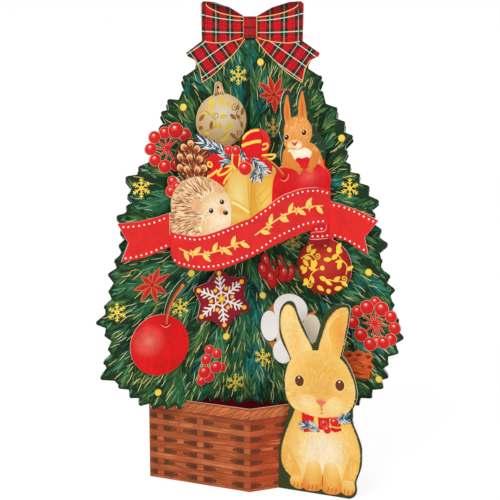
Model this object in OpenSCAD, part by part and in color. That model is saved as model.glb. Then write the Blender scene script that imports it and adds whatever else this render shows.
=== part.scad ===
// Stand-up greeting card: a fir tree in a woven basket, cut and folded from printed card.
// Every standing panel leans by the same angle from the front plane, one way or the other,
// so the whole card closes flat like a parallel linkage and opens to this shape.
// X runs to the right, Y to the back and Z up. The foot edges stand on Z = 0, and the origin
// is the middle of the plan. "Reach" below is a distance from the rear spine to the front.

/* [Card stock] */
// Thickness of the printed card
card_t = 0.4; // [0.3:0.05:0.6]
// Angle between every standing panel and the front plane
fold_angle = 24; // [20:1:28]
// Thickness of the foam pads behind the raised pieces
pad_t = 2.4; // [1.6:0.1:3]
// Diameter of a foam pad
pad_d = 8; // [5:0.5:9]
// Play on each side of a sheet in a slot
slot_play = 0.1; // [0.05:0.05:0.2]

/* [Tree] */
// Height from the foot to the top of the bow
card_h = 190; // [175:1:205]
// Fold to the widest needle tip, along the panel
tree_half_w = 64.5; // [60:0.5:70]
// Top of the card down to the crown of needles
crown_drop = 13; // [11:0.5:16]
// Basket rim down to the lowest needle tips
needle_drop = 4.5; // [3:0.5:7]
// Radius of a needle tip
needle_r = 1; // [0.7:0.1:1.3]
// Depth of the notch between two needle tips
notch_depth = 2.2; // [1.2:0.1:3]
// Distance between the folds of the two tree layers
layer_gap = 13; // [11:0.5:15]
// How far the rear needles stand out past the front ones
rear_peek = 1.3; // [0.6:0.1:2]
// Rear needles lie lower than the front ones by this
rear_shift = 3; // [2:0.5:4]

/* [Berry clusters] */
// Radius of a berry
berry_r = 2.4; // [1.8:0.1:3]
// Radius of the ring of berries
berry_ring_r = 7; // [6:0.5:8]
// Berries in a ring
berry_count = 9; // [7:1:11]

/* [Bow] */
// Knot to the outer corner of the left ribbon tail
bow_left_w = 26.6; // [24:0.2:29]
// Knot to the outer corner of the right ribbon tail
bow_right_w = 29; // [26:0.2:32]
// Top of the loops down to the tips of the tails
bow_h = 31; // [28:0.5:34]
// Half width of the knot that pops forward
knot_half_w = 3.1; // [2.5:0.1:4]
// Height of the knot
knot_h = 8.2; // [7:0.1:9]

/* [Basket] */
// Fold to corner, along the panel
basket_half_w = 44.5; // [42:0.5:48]
// Foot to rim
basket_h = 34; // [30:0.5:38]
// Width of a glue tab
tab_w = 7; // [5:0.5:9]
// Depth of the rim slot that the front tree sits in
rim_lap = 1.5; // [1:0.1:2]

/* [Banner] */
// Middle fold to the fold at a ribbon tail, along the panel
banner_half_w = 33.4; // [31:0.2:36]
// Foot to the lower edge of the ribbon at the middle fold
banner_z = 95.6; // [90:0.2:100]
// Height of what stands on the ribbon, above that edge
banner_h = 62; // [58:0.5:66]
// Length of a ribbon tail, from its fold to its points
ribbon_tail_l = 21.5; // [19:0.5:24]
// Radius of the bauble below the right tail
red_bauble_r = 11.2; // [9.5:0.1:12]

/* [Raised pieces] */
// Radius of the gold bauble
gold_bauble_r = 10.4; // [9:0.1:12]
// Gold bauble, middle to the top of its cap
gold_cap_h = 15; // [13.5:0.5:17]
// Cookie, middle to the tip of a point
cookie_r = 13; // [11:0.1:15]
// Cookie, middle to the bottom of a notch
cookie_notch_r = 9.3; // [8:0.1:10.5]
// Radius of the cherry
cherry_r = 12.1; // [10.5:0.1:13.5]
// Length of the cherry's stem along its bend
stem_l = 18.5; // [15:0.5:22]
// Radius of the bend in the cherry's stem
stem_bend_r = 19; // [16:0.5:24]
// Width of the cherry's stem with its border
stem_w = 3; // [2:0.1:4]

/* [Rabbit] */
// Basket fold to the fold of the rabbit, along the basket
rabbit_from_fold = 12.4; // [10:0.2:15]
// Width of the rabbit panel
rabbit_w = 35; // [32:0.5:38]
// Height of the rabbit panel, foot to ear tips
rabbit_h = 77.5; // [72:0.5:84]
// Height of the rabbit's fold and glue tab
rabbit_fold_h = 15; // [12:0.5:18]

/* [Straps] */
// Height of a strap between the tree layers
strap_h = 12; // [8:0.5:16]
// Foot to the lower edge of the upper strap
upper_strap_z = 136; // [130:1:140]
// Foot to the lower edge of the lower strap
lower_strap_z = 58; // [50:1:66]
// Half width of the strap's middle, glued to the front tree
strap_glue_w = 8; // [6:0.5:10]

/* [Hidden] */
$fn = 48;

lean_sin = sin(fold_angle);
lean_cos = cos(fold_angle);
lean_tan = tan(fold_angle);
// One card thickness measured straight to the front, and along a panel at a mitred fold
card_step = card_t / lean_cos;
fold_lap = card_t * lean_tan;
// Size of the blocks that trim a panel at its fold
trim = 2 * card_h;

// Reach of each sheet's fold: rear faces of the valley folds, front faces of the mountain folds
base_reach = 0;
tree_reach = base_reach + layer_gap;
raised_reach = tree_reach + card_step + pad_t / lean_cos;
corner_x = basket_half_w * lean_cos - card_t * lean_sin;
basket_reach = base_reach + 2 * corner_x * lean_tan + card_step;
tail_fold_x = banner_half_w * lean_cos;
banner_reach = raised_reach + card_step + 2 * tail_fold_x * lean_tan;
rabbit_x = rabbit_from_fold * lean_cos;
rabbit_reach = basket_reach - card_step - 2 * rabbit_x * lean_tan;
rabbit_end_reach = rabbit_reach + (rabbit_x / lean_cos + rabbit_w) * lean_sin + card_step;
middle_y = (base_reach + max(rabbit_end_reach, banner_reach)) / 2;

// Foliage: outlines are given in percent of the half width and of the foliage height
needle_z = basket_h - needle_drop;
foliage_h = card_h - crown_drop - needle_z;
needle_heart = [0, needle_z + 0.35 * foliage_h];
needle_lift = 0.5;
left_tips = [[43, 90], [44, 86], [53, 84], [57, 81], [57, 77], [57, 72], [72, 67], [80, 64.5], [79, 60],
             [80, 57], [86, 54.5], [84, 50.5], [85, 47], [88, 43], [92, 39.5], [92, 35], [95, 31],
             [100, 27], [95, 23.5], [93, 19.5], [96, 16], [98, 12], [87, 9], [80, 6], [74, 3.5],
             [66, 2], [57, 1.5], [49, 1], [44, 1], [36, 2], [27, 2], [18, 1], [8, 0]];
right_tips = [[46, 90], [47, 86], [56, 82], [61, 78.5], [66, 75], [63, 71], [65, 67.5], [71, 65],
              [77, 62], [83, 58.5], [81, 55], [85, 51], [89, 47.5], [86, 43], [91, 39], [94, 35.5],
              [94, 31.5], [97, 27.5], [100, 23], [97, 19], [91, 15.5], [91, 12], [88, 9], [81, 6],
              [73, 3.5], [64, 2], [55, 1.5], [49, 1], [44, 1], [36, 2], [26, 1], [18, 0], [8, 0]];
rear_crown_tips = [[13, 99], [24, 97], [34, 94]];
left_berries_at = on_tree([53.5, 71.5]);
right_berries_at = on_tree([83.7, 25.4]);

// Bow half: percent of its half width and of its height above the tail tips
bow_outline = [[0, 80.5], [10, 81], [32, 92], [57, 99], [73, 100], [77, 97], [76, 52], [100, 38],
               [98, 34], [87, 29], [76, 0], [45, 19], [22, 38], [9, 55], [0, 55]];
bow_z = card_h - bow_h;
knot_z = bow_z + 0.81 * bow_h - knot_h;

// Banner motifs: percent of the panel's width and of the height above the ribbon's lower edge
hedgehog_at = on_banner([60.5, 29]);
hedgehog_half = on_banner([38.9, 19.4]);
cone_at = on_banner([70.7, 56.5]);
cone_half = on_banner([22.8, 14.5]);
cone_turn = -12;
gift_bow_at = on_banner([42.5, 53.2]);
gift_bow_half = on_banner([15, 9.7]);
top_bow_at = on_banner([7.2, 69.4]);
top_bow_half = on_banner([17.4, 9]);
squirrel_head_at = on_banner([58.1, 77.4]);
squirrel_head_half = on_banner([22.2, 13.6]);
squirrel_body_at = on_banner([65.9, 60.9]);
squirrel_body_half = on_banner([28.2, 17.7]);
squirrel_ears_at = [on_banner([44.9, 90]), on_banner([64.4, 91.6])];
squirrel_ear_half = on_banner([7.6, 10.8]);
squirrel_ear_tilts = [0, -4];
apple_at = on_banner([64.1, 44.4]);
apple_half = on_banner([37.1, 14.5]);
panel_berries_at = [on_banner([98.8, 37.4]), on_banner([94, 42.6])];
sprig_from = on_banner([64.4, 67.7]);
sprig_to = on_banner([6, 54.8]);
sprig_half_w = on_banner([0, 4.8]);
leaf_half = on_banner([2.7, 5.8]);
leaf_offset = on_banner([2.4, 1.9]);
leaf_turn = 24;
sprig_leaves = 6;

// Ribbon tails: percent of their length and of the banner's height, from just inside the fold
left_tail_points = [[-0.5, 24], [34, 21.2], [68, 19.7], [100, 19.7], [80, 7], [94, -4.4], [64, -3.7],
                    [37, -1.6], [-0.5, 2.9]];
left_tail_pad = [38, 9.5];
right_tail_points = [[-0.5, 31.3], [24, 29.8], [58, 26.3], [92, 21.3], [67, 10.3], [74, -0.6], [58, 2.3],
                     [34, 6.8], [10, 8.9], [-0.5, 4.2]];
right_tail_pad = [38, 17.5];
red_bauble_hang = [-5.4, -10.2];
red_bauble_at = [banner_half_w, banner_z] + on_banner(red_bauble_hang);

// Raised pieces: places on the left tree panel
gold_bauble_at = on_tree([18.8, 78.2]);
gold_cap_turn = -5;
cookie_at = on_tree([18.9, 30.5]);
cookie_points = 6;
cookie_turn = 24;
cherry_at = on_tree([59.7, 19.8]);
stem_from = cherry_r * [-0.21, 0.73];

function heading(a) = [cos(a), sin(a)];
function unit(v) = v / norm(v);
function across(v) = [-v[1], v[0]];
function oval_points(at, half, turn = 0, sides = 36) = [
    for (i = [0 : sides - 1])
        let (p = [half[0] * cos(360 * i / sides), half[1] * sin(360 * i / sides)])
            at + p[0] * heading(turn) + p[1] * across(heading(turn))];

// Turn percent places into millimetres
function share(p, width, height) = [p[0] * width / 100, p[1] * height / 100];
function on_grid(points, width, height, foot) = [for (p = points) [0, foot] + share(p, width, height)];
function on_tree(p) = [0, needle_z] + share(p, tree_half_w, foliage_h);
function on_banner(p) = share(p, banner_half_w, banner_h);
function on_rabbit(p) = share(p, rabbit_w, rabbit_h);

// Way that a needle points: out from the heart of the tree, flattened
function needle_way(p) = unit([p[0] - needle_heart[0], needle_lift * (p[1] - needle_heart[1])]);
function needle_tip(p) = [
    for (a = [60 : -30 : -60])
        let (way = needle_way(p))
            p - needle_r * way + needle_r * (cos(a) * way + sin(a) * across(way))];
function needle_notch(p, q) = (p + q) / 2 - notch_depth * needle_way((p + q) / 2);

// Half of a tree outline: crown, needle by needle down the side, and back to the fold
function needle_edge(tips) = [
    for (i = [0 : len(tips) - 1])
        each concat(needle_tip(tips[i]), i < len(tips) - 1 ? [needle_notch(tips[i], tips[i + 1])] : [])];
function tree_half(tips) =
    concat([[0, card_h - crown_drop], [knot_half_w, card_h - crown_drop]], needle_edge(tips),
           [[0, needle_z + needle_r]]);
function front_tips(tips) = [for (p = tips) on_tree(p)];
function rear_tips(tips) = [for (p = front_tips(tips)) p + [rear_peek, -rear_shift]];

// Plan of a folded strip: its rear line, and the same line one card thickness to the front
function front_normal(p, q) = -across(unit(q - p));
function front_line(path) = [
    for (i = [0 : len(path) - 1])
        let (before = front_normal(path[max(i - 1, 0)], path[max(i, 1)]),
             after = front_normal(path[min(i, len(path) - 2)], path[min(i + 1, len(path) - 1)]))
            path[i] + card_t * (before + after) / (1 + before * after)];

// Points on a smooth curve through the given ones
function between(a, b, c, d, t) = b + (c - a) * t / 2 + (2 * a - 5 * b + 4 * c - d) * t * t / 2
    + (3 * b - a - 3 * c + d) * t * t * t / 2;
function through(points, steps = 3) =
    let (last = len(points) - 1) concat(
        [for (i = [0 : last - 1], k = [0 : steps - 1])
            between(points[max(i - 1, 0)], points[i], points[i + 1], points[min(i + 2, last)], k / steps)],
        [points[last]]);
function reversed(list) = [for (i = [len(list) - 1 : -1 : 0]) list[i]];
function strip_plan(path) = concat(path, reversed(front_line(path)));
function valley_at(x, reach) = [x, -reach - abs(x) * lean_tan];
function mountain_at(x, reach) = [x, -reach + abs(x) * lean_tan];

// Right half of a sheet whose outer edge comes forward; its rear faces meet at the fold
module valley_half(reach)
    intersection() {
        valley_panel(reach) children();
        translate([0, -trim, -trim]) cube(2 * trim);
    }

// The same panel without the trim at the fold
module valley_panel(reach)
    translate([0, -reach, 0]) rotate([0, 0, -fold_angle]) rotate([90, 0, 0])
        linear_extrude(card_t) children();

// Right half of a sheet whose outer edge goes back; its front faces meet at the fold
module mountain_half(reach)
    intersection() {
        translate([0, -reach, 0]) rotate([0, 0, fold_angle]) rotate([90, 0, 0])
            translate([0, 0, -card_t]) linear_extrude(card_t) children();
        translate([0, -trim, -trim]) cube(2 * trim);
    }

module to_left() mirror([1, 0, 0]) children();
module in_place() translate([0, middle_y, 0]) children();
module oval(at, half, turn = 0) polygon(oval_points(at, half, turn));

module berry_ring(at)
    translate(at) {
        circle(berry_ring_r);
        for (i = [0 : berry_count - 1])
            translate(berry_ring_r * heading(360 * i / berry_count)) circle(berry_r);
    }

// Vertical slots where the front tree crosses the basket wall
module lap_slots(low, high) {
    cross_x = (basket_reach - card_step - tree_reach) / (2 * lean_tan);
    slot_w = card_t / lean_sin + 2 * slot_play;
    for (side = [-1, 1])
        translate([side * cross_x - slot_w / 2, -trim, low]) cube([slot_w, trim, high - low]);
}

// Rear sheet: tree outline above, back of the basket below
module base_outline(tips) {
    polygon(tree_half(concat(front_tips(rear_crown_tips), rear_tips(tips))));
    square([basket_half_w, needle_z + rear_shift + needle_drop]);
}
module base_card()
    color("darkgreen") in_place() {
        valley_half(base_reach) base_outline(right_tips);
        to_left() valley_half(base_reach) base_outline(left_tips);
    }

// Front sheet: needles, berry cluster and half of the bow, less the window of the knot
module front_outline(tips, berries_at, bow_w)
    difference() {
        union() {
            polygon(tree_half(front_tips(tips)));
            polygon(on_grid(bow_outline, bow_w, bow_h, bow_z));
            berry_ring(berries_at);
        }
        translate([-knot_half_w, knot_z]) square([2 * knot_half_w, trim]);
    }

// The knot stays joined to the loops at its sides and folds the other way
module knot_half()
    mountain_half(tree_reach + card_step + 2 * knot_half_w * lean_cos * lean_tan)
        translate([0, knot_z]) square([knot_half_w + fold_lap, knot_h]);

module front_tree()
    color("forestgreen") in_place() {
        difference() {
            union() {
                valley_half(tree_reach) front_outline(right_tips, right_berries_at, bow_right_w);
                to_left() valley_half(tree_reach) front_outline(left_tips, left_berries_at, bow_left_w);
            }
            lap_slots(0, basket_h - rim_lap);
        }
        knot_half();
        to_left() knot_half();
    }

// Strip glued to the rear sheet at its ends and to the front tree at its middle
module strap(z) {
    rear = base_reach + card_step;
    front = tree_reach - card_step;
    glue_x = strap_glue_w * lean_cos;
    foot_x = glue_x + (front - rear) / (2 * lean_tan);
    end_x = foot_x + tab_w * lean_cos;
    half = [valley_at(0, front), valley_at(glue_x, front), valley_at(foot_x, rear), valley_at(end_x, rear)];
    path = concat([for (i = [3 : -1 : 1]) [-half[i][0], half[i][1]]], half);
    color("white") in_place() translate([0, 0, z]) linear_extrude(strap_h) polygon(strip_plan(path));
}
module upper_strap() strap(upper_strap_z);
module lower_strap() strap(lower_strap_z);

// Basket front: two walls and a glue tab behind each corner, on the rear sheet
module basket_front() {
    wall_rear = basket_reach - card_step;
    tab_rear = base_reach + card_step;
    inner_x = corner_x - card_step / lean_tan;
    tab_x = corner_x - tab_w * lean_cos;
    half = [valley_at(inner_x, tab_rear + card_step), valley_at(tab_x, tab_rear + card_step),
            valley_at(tab_x, tab_rear), valley_at(corner_x, tab_rear)];
    other = [for (p = reversed(half)) [-p[0], p[1]]];
    color("saddlebrown") in_place()
        difference() {
            linear_extrude(basket_h)
                polygon(concat([mountain_at(0, wall_rear)], half, [mountain_at(0, basket_reach)], other));
            lap_slots(basket_h - rim_lap, trim);
        }
}

// End of a ribbon panel, a little past the tail's fold
function to_tail(low, high) = [for (z = [low, high]) [banner_half_w + 1.5 * fold_lap, z * banner_h / 100]];
function banner_points(points) = [for (p = points) on_banner(p)];

// Ribbon between the middle fold and the left tail, and what stands on it
module ribbon_left() {
    polygon(concat(banner_points([[0, 0], [9, -2.3], [18.5, -4.8], [30, -7.4], [41, -9.4], [50, -10.4],
                                  [59, -10.8], [68, -10.7], [77, -10.2], [85, -9.6], [91, -8.6],
                                  [95, -7.2], [97.6, -5.2], [99, -2], [99.4, 0]]),
                   to_tail(3.2, 23.4), banner_points([[93, 29], [0, 27.4]])));
    oval(hedgehog_at, hedgehog_half);
    oval(cone_at, cone_half, cone_turn);
    for (p = panel_berries_at) translate(p) circle(berry_r);
    polygon(banner_points([[0, 16], [33, 19], [38, 44], [34, 56], [21, 58], [9, 64.5], [0, 66]]));
    oval(gift_bow_at, gift_bow_half);
    oval([-top_bow_at[0], top_bow_at[1]], top_bow_half);
    sprig();
}

// Evergreen sprig: leaves along a stalk that slopes down to the fold
module sprig() {
    polygon([sprig_from, sprig_to, sprig_to - sprig_half_w, sprig_from - sprig_half_w]);
    for (i = [0 : sprig_leaves - 1])
        oval(sprig_from + (sprig_to - sprig_from) * i / sprig_leaves + leaf_offset, leaf_half, leaf_turn);
}

// Ribbon between the middle fold and the right tail, and what stands on it
module ribbon_right() {
    polygon(concat(banner_points([[0, 0], [18, 3.9], [36, 7.6], [54, 10.8], [69, 13.1], [79, 14.5], [75, 5.5]]),
                   to_tail(3.8, 37.9), banner_points([[87, 42], [0, 35.5]])));
    polygon(banner_points([[0, 16], [34, 19], [36, 43.5], [32, 53], [21, 61], [0, 66]]));
    oval(top_bow_at, top_bow_half);
    oval(apple_at, apple_half);
    oval(squirrel_body_at, squirrel_body_half);
    oval(squirrel_head_at, squirrel_head_half);
    for (i = [0 : len(squirrel_ears_at) - 1])
        oval(squirrel_ears_at[i], squirrel_ear_half, squirrel_ear_tilts[i]);
}

// Swallow-tailed ends of the ribbon, from the fold outwards
function on_tail(p) = [banner_half_w, banner_z] + share(p, ribbon_tail_l, banner_h);
module ribbon_tail(points) polygon([for (p = points) on_tail(p)]);
module left_tail() ribbon_tail(left_tail_points);
module right_tail() {
    ribbon_tail(right_tail_points);
    translate(red_bauble_at) circle(red_bauble_r);
}

module banner()
    color("crimson") in_place() {
        mountain_half(banner_reach) translate([0, banner_z]) ribbon_right();
        to_left() mountain_half(banner_reach) translate([0, banner_z]) ribbon_left();
        valley_panel(raised_reach) right_tail();
        to_left() valley_panel(raised_reach) left_tail();
    }

// Rabbit sitting up: a border round the figure, from its fold over the ears to the foot
rabbit_border = [[0, 100 * rabbit_fold_h / rabbit_h], [1.1, 22.7], [3.7, 27.1], [7.4, 32.9],
                 [10.3, 38.6], [12.9, 43.1], [12.6, 45.4], [8, 48.6], [5.7, 52.3], [5.4, 55.6],
                 [6.6, 59.2], [8.6, 63.4], [11.4, 66.5], [13.4, 69], [9.1, 73.3], [4.3, 77],
                 [1.1, 81.4], [0.2, 86.1], [0.4, 90.6], [2.3, 94.6], [6.6, 97.4], [11.7, 98.8],
                 [17.1, 98.5], [20.6, 96.1], [23.4, 92.4], [27.4, 88.6], [32.6, 84], [37.1, 79.9],
                 [40.6, 78], [43.7, 79.4], [46, 82.3], [48.3, 86.3], [51.4, 90.7], [55.7, 94.8],
                 [62, 97.7], [70, 99.6], [77.4, 100], [82.3, 99.5], [83.7, 97.7], [83.1, 93.8],
                 [81.7, 88.9], [79.7, 84], [77.4, 78.7], [75.4, 74.2], [79.1, 72], [84.3, 68.4],
                 [88, 64.9], [91.1, 60.9], [92.9, 57], [93.2, 53.5], [91.4, 50], [88.6, 46.8],
                 [88.8, 43.6], [88.4, 41.2], [90, 38.8], [93.4, 35.5], [97.1, 31.6], [99.7, 27.7],
                 [100, 24.4], [100, 19.6], [98.6, 16.1], [95.7, 12.1], [93.9, 9.6], [94.3, 7.2],
                 [94.8, 5], [93.6, 2.8], [90.4, 1], [86, 0]];
module rabbit_outline()
    polygon(concat([[0, 0]], through([for (p = rabbit_border) on_rabbit(p)])));
module rabbit_panel() {
    wall = basket_reach;
    fold_x = rabbit_x;
    tab_x = fold_x + tab_w * lean_cos;
    inner_x = fold_x + card_step / lean_tan;
    tab = [mountain_at(fold_x, wall), mountain_at(tab_x, wall), mountain_at(tab_x, wall + card_step),
           mountain_at(inner_x, wall + card_step)];
    color("wheat") in_place() {
        linear_extrude(rabbit_fold_h) polygon(tab);
        intersection() {
            valley_panel(rabbit_reach) translate([rabbit_from_fold, 0]) rabbit_outline();
            linear_extrude(trim)
                polygon([mountain_at(0, wall), mountain_at(trim, wall), [trim, -trim], [0, -trim]]);
        }
    }
}

// Raised pieces, flat on their foam pads
module on_left_panel() in_place() to_left() valley_panel(raised_reach) children();
module gold_bauble() {
    cap_low = gold_bauble_r * 4 / 5;
    cap_foot_w = gold_bauble_r / 4;
    cap_top_w = gold_bauble_r / 7;
    color("tan") on_left_panel() translate(gold_bauble_at) {
        circle(gold_bauble_r);
        rotate(gold_cap_turn) {
            translate([0, gold_cap_h - cap_top_w]) circle(cap_top_w);
            polygon([[-cap_foot_w, cap_low], [cap_foot_w, cap_low], [cap_top_w, gold_cap_h - cap_top_w],
                     [-cap_top_w, gold_cap_h - cap_top_w]]);
        }
    }
}
module star_cookie() {
    tip_r = 1.4;
    color("brown") on_left_panel() translate(cookie_at) {
        polygon([for (i = [0 : cookie_points - 1])
            let (way = heading(cookie_turn + 360 * i / cookie_points),
                 next = heading(cookie_turn + 360 * (i + 0.5) / cookie_points))
                each [(cookie_r - tip_r) * way - tip_r * across(way), (cookie_r - tip_r) * way + tip_r * across(way),
                      cookie_notch_r * next]]);
        for (i = [0 : cookie_points - 1])
            translate((cookie_r - tip_r) * heading(cookie_turn + 360 * i / cookie_points)) circle(tip_r);
    }
}
module cherry() {
    turn = stem_l / stem_bend_r * 180 / PI;
    steps = 8;
    function stem_side(side) = [
        for (i = [0 : steps])
            let (reach = stem_bend_r + side * stem_w * (1 + i / steps) / 4)
                stem_from - [stem_bend_r, 0] + reach * heading(turn * i / steps)];
    color("firebrick") on_left_panel() translate(cherry_at) {
        circle(cherry_r);
        polygon(concat(stem_side(1), reversed(stem_side(-1))));
    }
}

// Pads: on the left panel and on the right panel, along the panel and above the foot
left_pads = [gold_bauble_at, cookie_at, cherry_at, on_tail(left_tail_pad)];
right_pads = [on_tail(right_tail_pad), red_bauble_at];
module pad(at)
    translate([0, -tree_reach, 0]) rotate([0, 0, -fold_angle]) translate([at[0], -card_t, at[1]])
        rotate([90, 0, 0]) cylinder(d = pad_d, h = pad_t);
module foam_pads()
    color("whitesmoke") in_place() {
        for (at = left_pads) to_left() pad(at);
        for (at = right_pads) pad(at);
    }

base_card();
front_tree();
upper_strap();
lower_strap();
basket_front();
banner();
rabbit_panel();
gold_bauble();
star_cookie();
cherry();
foam_pads();
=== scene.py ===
import math
import random

import bmesh
import bpy
from mathutils import Matrix, Vector
from mathutils.bvhtree import BVHTree


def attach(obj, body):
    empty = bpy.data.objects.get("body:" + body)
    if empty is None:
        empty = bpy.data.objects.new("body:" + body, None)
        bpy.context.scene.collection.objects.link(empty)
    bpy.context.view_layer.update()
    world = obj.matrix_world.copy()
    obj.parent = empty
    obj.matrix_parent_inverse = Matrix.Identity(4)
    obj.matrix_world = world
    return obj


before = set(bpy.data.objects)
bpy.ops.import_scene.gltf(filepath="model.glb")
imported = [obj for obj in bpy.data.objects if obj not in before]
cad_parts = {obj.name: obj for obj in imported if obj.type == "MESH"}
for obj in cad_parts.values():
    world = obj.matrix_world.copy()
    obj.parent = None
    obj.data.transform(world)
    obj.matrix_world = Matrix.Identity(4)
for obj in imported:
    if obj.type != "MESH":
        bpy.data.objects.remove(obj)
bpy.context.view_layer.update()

# Base card: the rear sheet of white felt-grained card, cut, folded at its spine and printed on its front.
# It shows as a rim of needles behind the front tree, and as the dark red inner back of the basket.
MM = 0.001
PRINT_FACING = -0.8
FIBRE_SCALE = 2600
WASH_SCALE = 170
FELT_HEIGHT = 0.00012
FELT_STRENGTH = 0.3
CARD_ROUGHNESS = 0.6
CARD_GLOSS = 0.12
RIM_Z = 0.0345


def tone(red, green, blue):
    """A printed colour as it is seen on the card, 0 to 255, turned into linear light."""
    def linear(level):
        level /= 255
        return level / 12.92 if level <= 0.04045 else ((level + 0.055) / 1.055) ** 2.4
    return linear(red), linear(green), linear(blue), 1.0


CARD_WHITE = tone(244, 241, 234)


def node(tree, kind, inputs=(), **settings):
    """A shader node: its settings, and its inputs set to constants or linked to sockets."""
    made = tree.nodes.new(kind if kind.startswith("NodeGroup") else "ShaderNode" + kind)
    for key, value in settings.items():
        setattr(made, key, value)
    for key, value in dict(inputs).items():
        if isinstance(value, bpy.types.NodeSocket):
            tree.links.new(value, made.inputs[key])
        else:
            made.inputs[key].default_value = value
    return made


def calc(tree, operation, first, second=0.0):
    return node(tree, "Math", {0: first, 1: second}, operation=operation).outputs[0]


def blend(tree, mask, low, high):
    return node(tree, "Mix", {0: mask, 6: low, 7: high}, data_type="RGBA").outputs[2]


def object_axes(tree):
    place = node(tree, "TexCoord").outputs["Object"]
    return node(tree, "SeparateXYZ", {0: place}).outputs


def felt_print():
    """Node group: felt grain that mottles a printed colour and lifts the surface a little."""
    group = bpy.data.node_groups.new("felt print", "ShaderNodeTree")
    group.interface.new_socket("Ink", in_out="INPUT", socket_type="NodeSocketColor")
    group.interface.new_socket("Mottle", in_out="INPUT", socket_type="NodeSocketFloat")
    group.interface.new_socket("Colour", in_out="OUTPUT", socket_type="NodeSocketColor")
    group.interface.new_socket("Height", in_out="OUTPUT", socket_type="NodeSocketFloat")
    start = node(group, "NodeGroupInput").outputs
    place = node(group, "TexCoord").outputs["Object"]
    fibres = node(group, "TexNoise", {"Vector": place, "Scale": FIBRE_SCALE, "Detail": 2.0}).outputs[0]
    wash = node(group, "TexNoise", {"Vector": place, "Scale": WASH_SCALE, "Detail": 3.0}).outputs[0]
    uneven = calc(group, "SUBTRACT", calc(group, "ADD", fibres, wash), 1.0)
    value = calc(group, "ADD", calc(group, "MULTIPLY", uneven, start["Mottle"]), 1.0)
    inked = node(group, "HueSaturation", {"Color": start["Ink"], "Value": value}).outputs[0]
    node(group, "NodeGroupOutput", {"Colour": inked, "Height": fibres})
    return group


FELT = felt_print()


def printed(name, colour, mottle=0.3, sheet=False, roughness=CARD_ROUGHNESS, metallic=0.0):
    """Ink on felt-grained card. colour is a tone, or a function that builds a colour socket.
    On a sheet only the front is inked, and the back and the cut edges stay white."""
    material = bpy.data.materials.new(name)
    material.use_nodes = True
    tree = material.node_tree
    shader = tree.nodes["Principled BSDF"]
    shader.inputs["Roughness"].default_value = roughness
    shader.inputs["Specular IOR Level"].default_value = CARD_GLOSS
    shader.inputs["Metallic"].default_value = metallic
    inked = colour(tree) if callable(colour) else colour
    if sheet:
        facing = node(tree, "SeparateXYZ", {0: node(tree, "TexCoord").outputs["Normal"]}).outputs["Y"]
        inked = blend(tree, calc(tree, "LESS_THAN", facing, PRINT_FACING), CARD_WHITE, inked)
    felt = node(tree, "Group", {"Ink": inked, "Mottle": mottle}, node_tree=FELT)
    tree.links.new(felt.outputs["Colour"], shader.inputs["Base Color"])
    bump = node(tree, "Bump", {"Height": felt.outputs["Height"], "Strength": FELT_STRENGTH,
                               "Distance": FELT_HEIGHT})
    tree.links.new(bump.outputs[0], shader.inputs["Normal"])
    return material


def dress(node_name, material):
    """Give a sheet of the card its printed stock."""
    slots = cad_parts[node_name].data.materials
    slots.clear()
    slots.append(material)


def base_print(tree):
    above = calc(tree, "GREATER_THAN", object_axes(tree)["Z"], RIM_Z)
    return blend(tree, above, tone(186, 24, 48), tone(30, 56, 32))


dress("base_card", printed("base card", base_print, sheet=True))

# Front tree: the second folded sheet, die-cut along its needle tips and printed with fir sprigs.
# Each needle is a flat lick of ink on the card, dark ones first and thin light ones last.
FIRST_LIFT = 0.012
INK_STEP = 0.0003
INK_ROOT = 0.02
HEART_Z = 108
NEEDLE_LIFT = 0.75
SPRIG_ROWS = 20
SPRIG_COLUMNS = 9
SPRIG_PITCH = 7.6
SPRIG_LENGTH = (7, 12)
SPRIG_NEEDLES = 28
SPRIG_STEP = 0.0014
SPRIG_RANKS = 212
NEEDLE_FOOT = 31
NEEDLE_REACH = (6, 9.5)
NEEDLE_WIDTHS = (1.1, 0.9, 0.6)
NEEDLE_SHARES = (1, 0.65, 0.4, 0.2)
NEEDLE_STEP = 0.00008
LOOSE_NEEDLES = 1500
LOOSE_REACHES = (6, 3.5, 2)
LOOSE_WIDTH = 0.75
LOOSE_SHADES = (0, 1, 1, 2)
FINE_LINES = 560
FINE_WIDTH = 0.2
TREE_REACH = 66
SIDES = ((-1, "left"), (1, "right"))
NEEDLE = [(0, 0), (0.25, 0.5), (0.65, 0.4), (1, 0), (0.65, -0.4), (0.25, -0.5)]
BAR = [(0, -0.5), (1, -0.5), (1, 0.5), (0, 0.5)]
FOLD_GROWTH = (171, 158, 164, 152, 168, 146, 38, 44, 50, 56, 62, 68, 74, 80)
FOLD_TURN = 100
BOW_FOOT = 0.1765
CROWN_Z = 176.2
ORNAMENT_LIFT = 0.33


def panel(node_name, side, lean):
    """Frame of one printed panel in millimetres: x to the right from where the panel meets the
    card's middle plane, y up from the foot and z out of the print. side is the half of the card
    that the panel is on, and lean the side that its face looks to."""
    faces = [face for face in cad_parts[node_name].data.polygons
             if face.normal.y < PRINT_FACING and face.center.x * side > 0 and face.normal.x * lean > 0]
    face = max(faces, key=lambda f: f.area)
    up = Vector((0, 0, 1))
    out = Vector((face.normal.x, face.normal.y, 0)).normalized()
    axes = Matrix((up.cross(out), up, out)).transposed().to_4x4()
    middle = Vector((0, out.dot(face.center) / out.y, 0))
    return Matrix.Translation(middle) @ axes @ Matrix.Scale(MM, 4)


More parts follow.
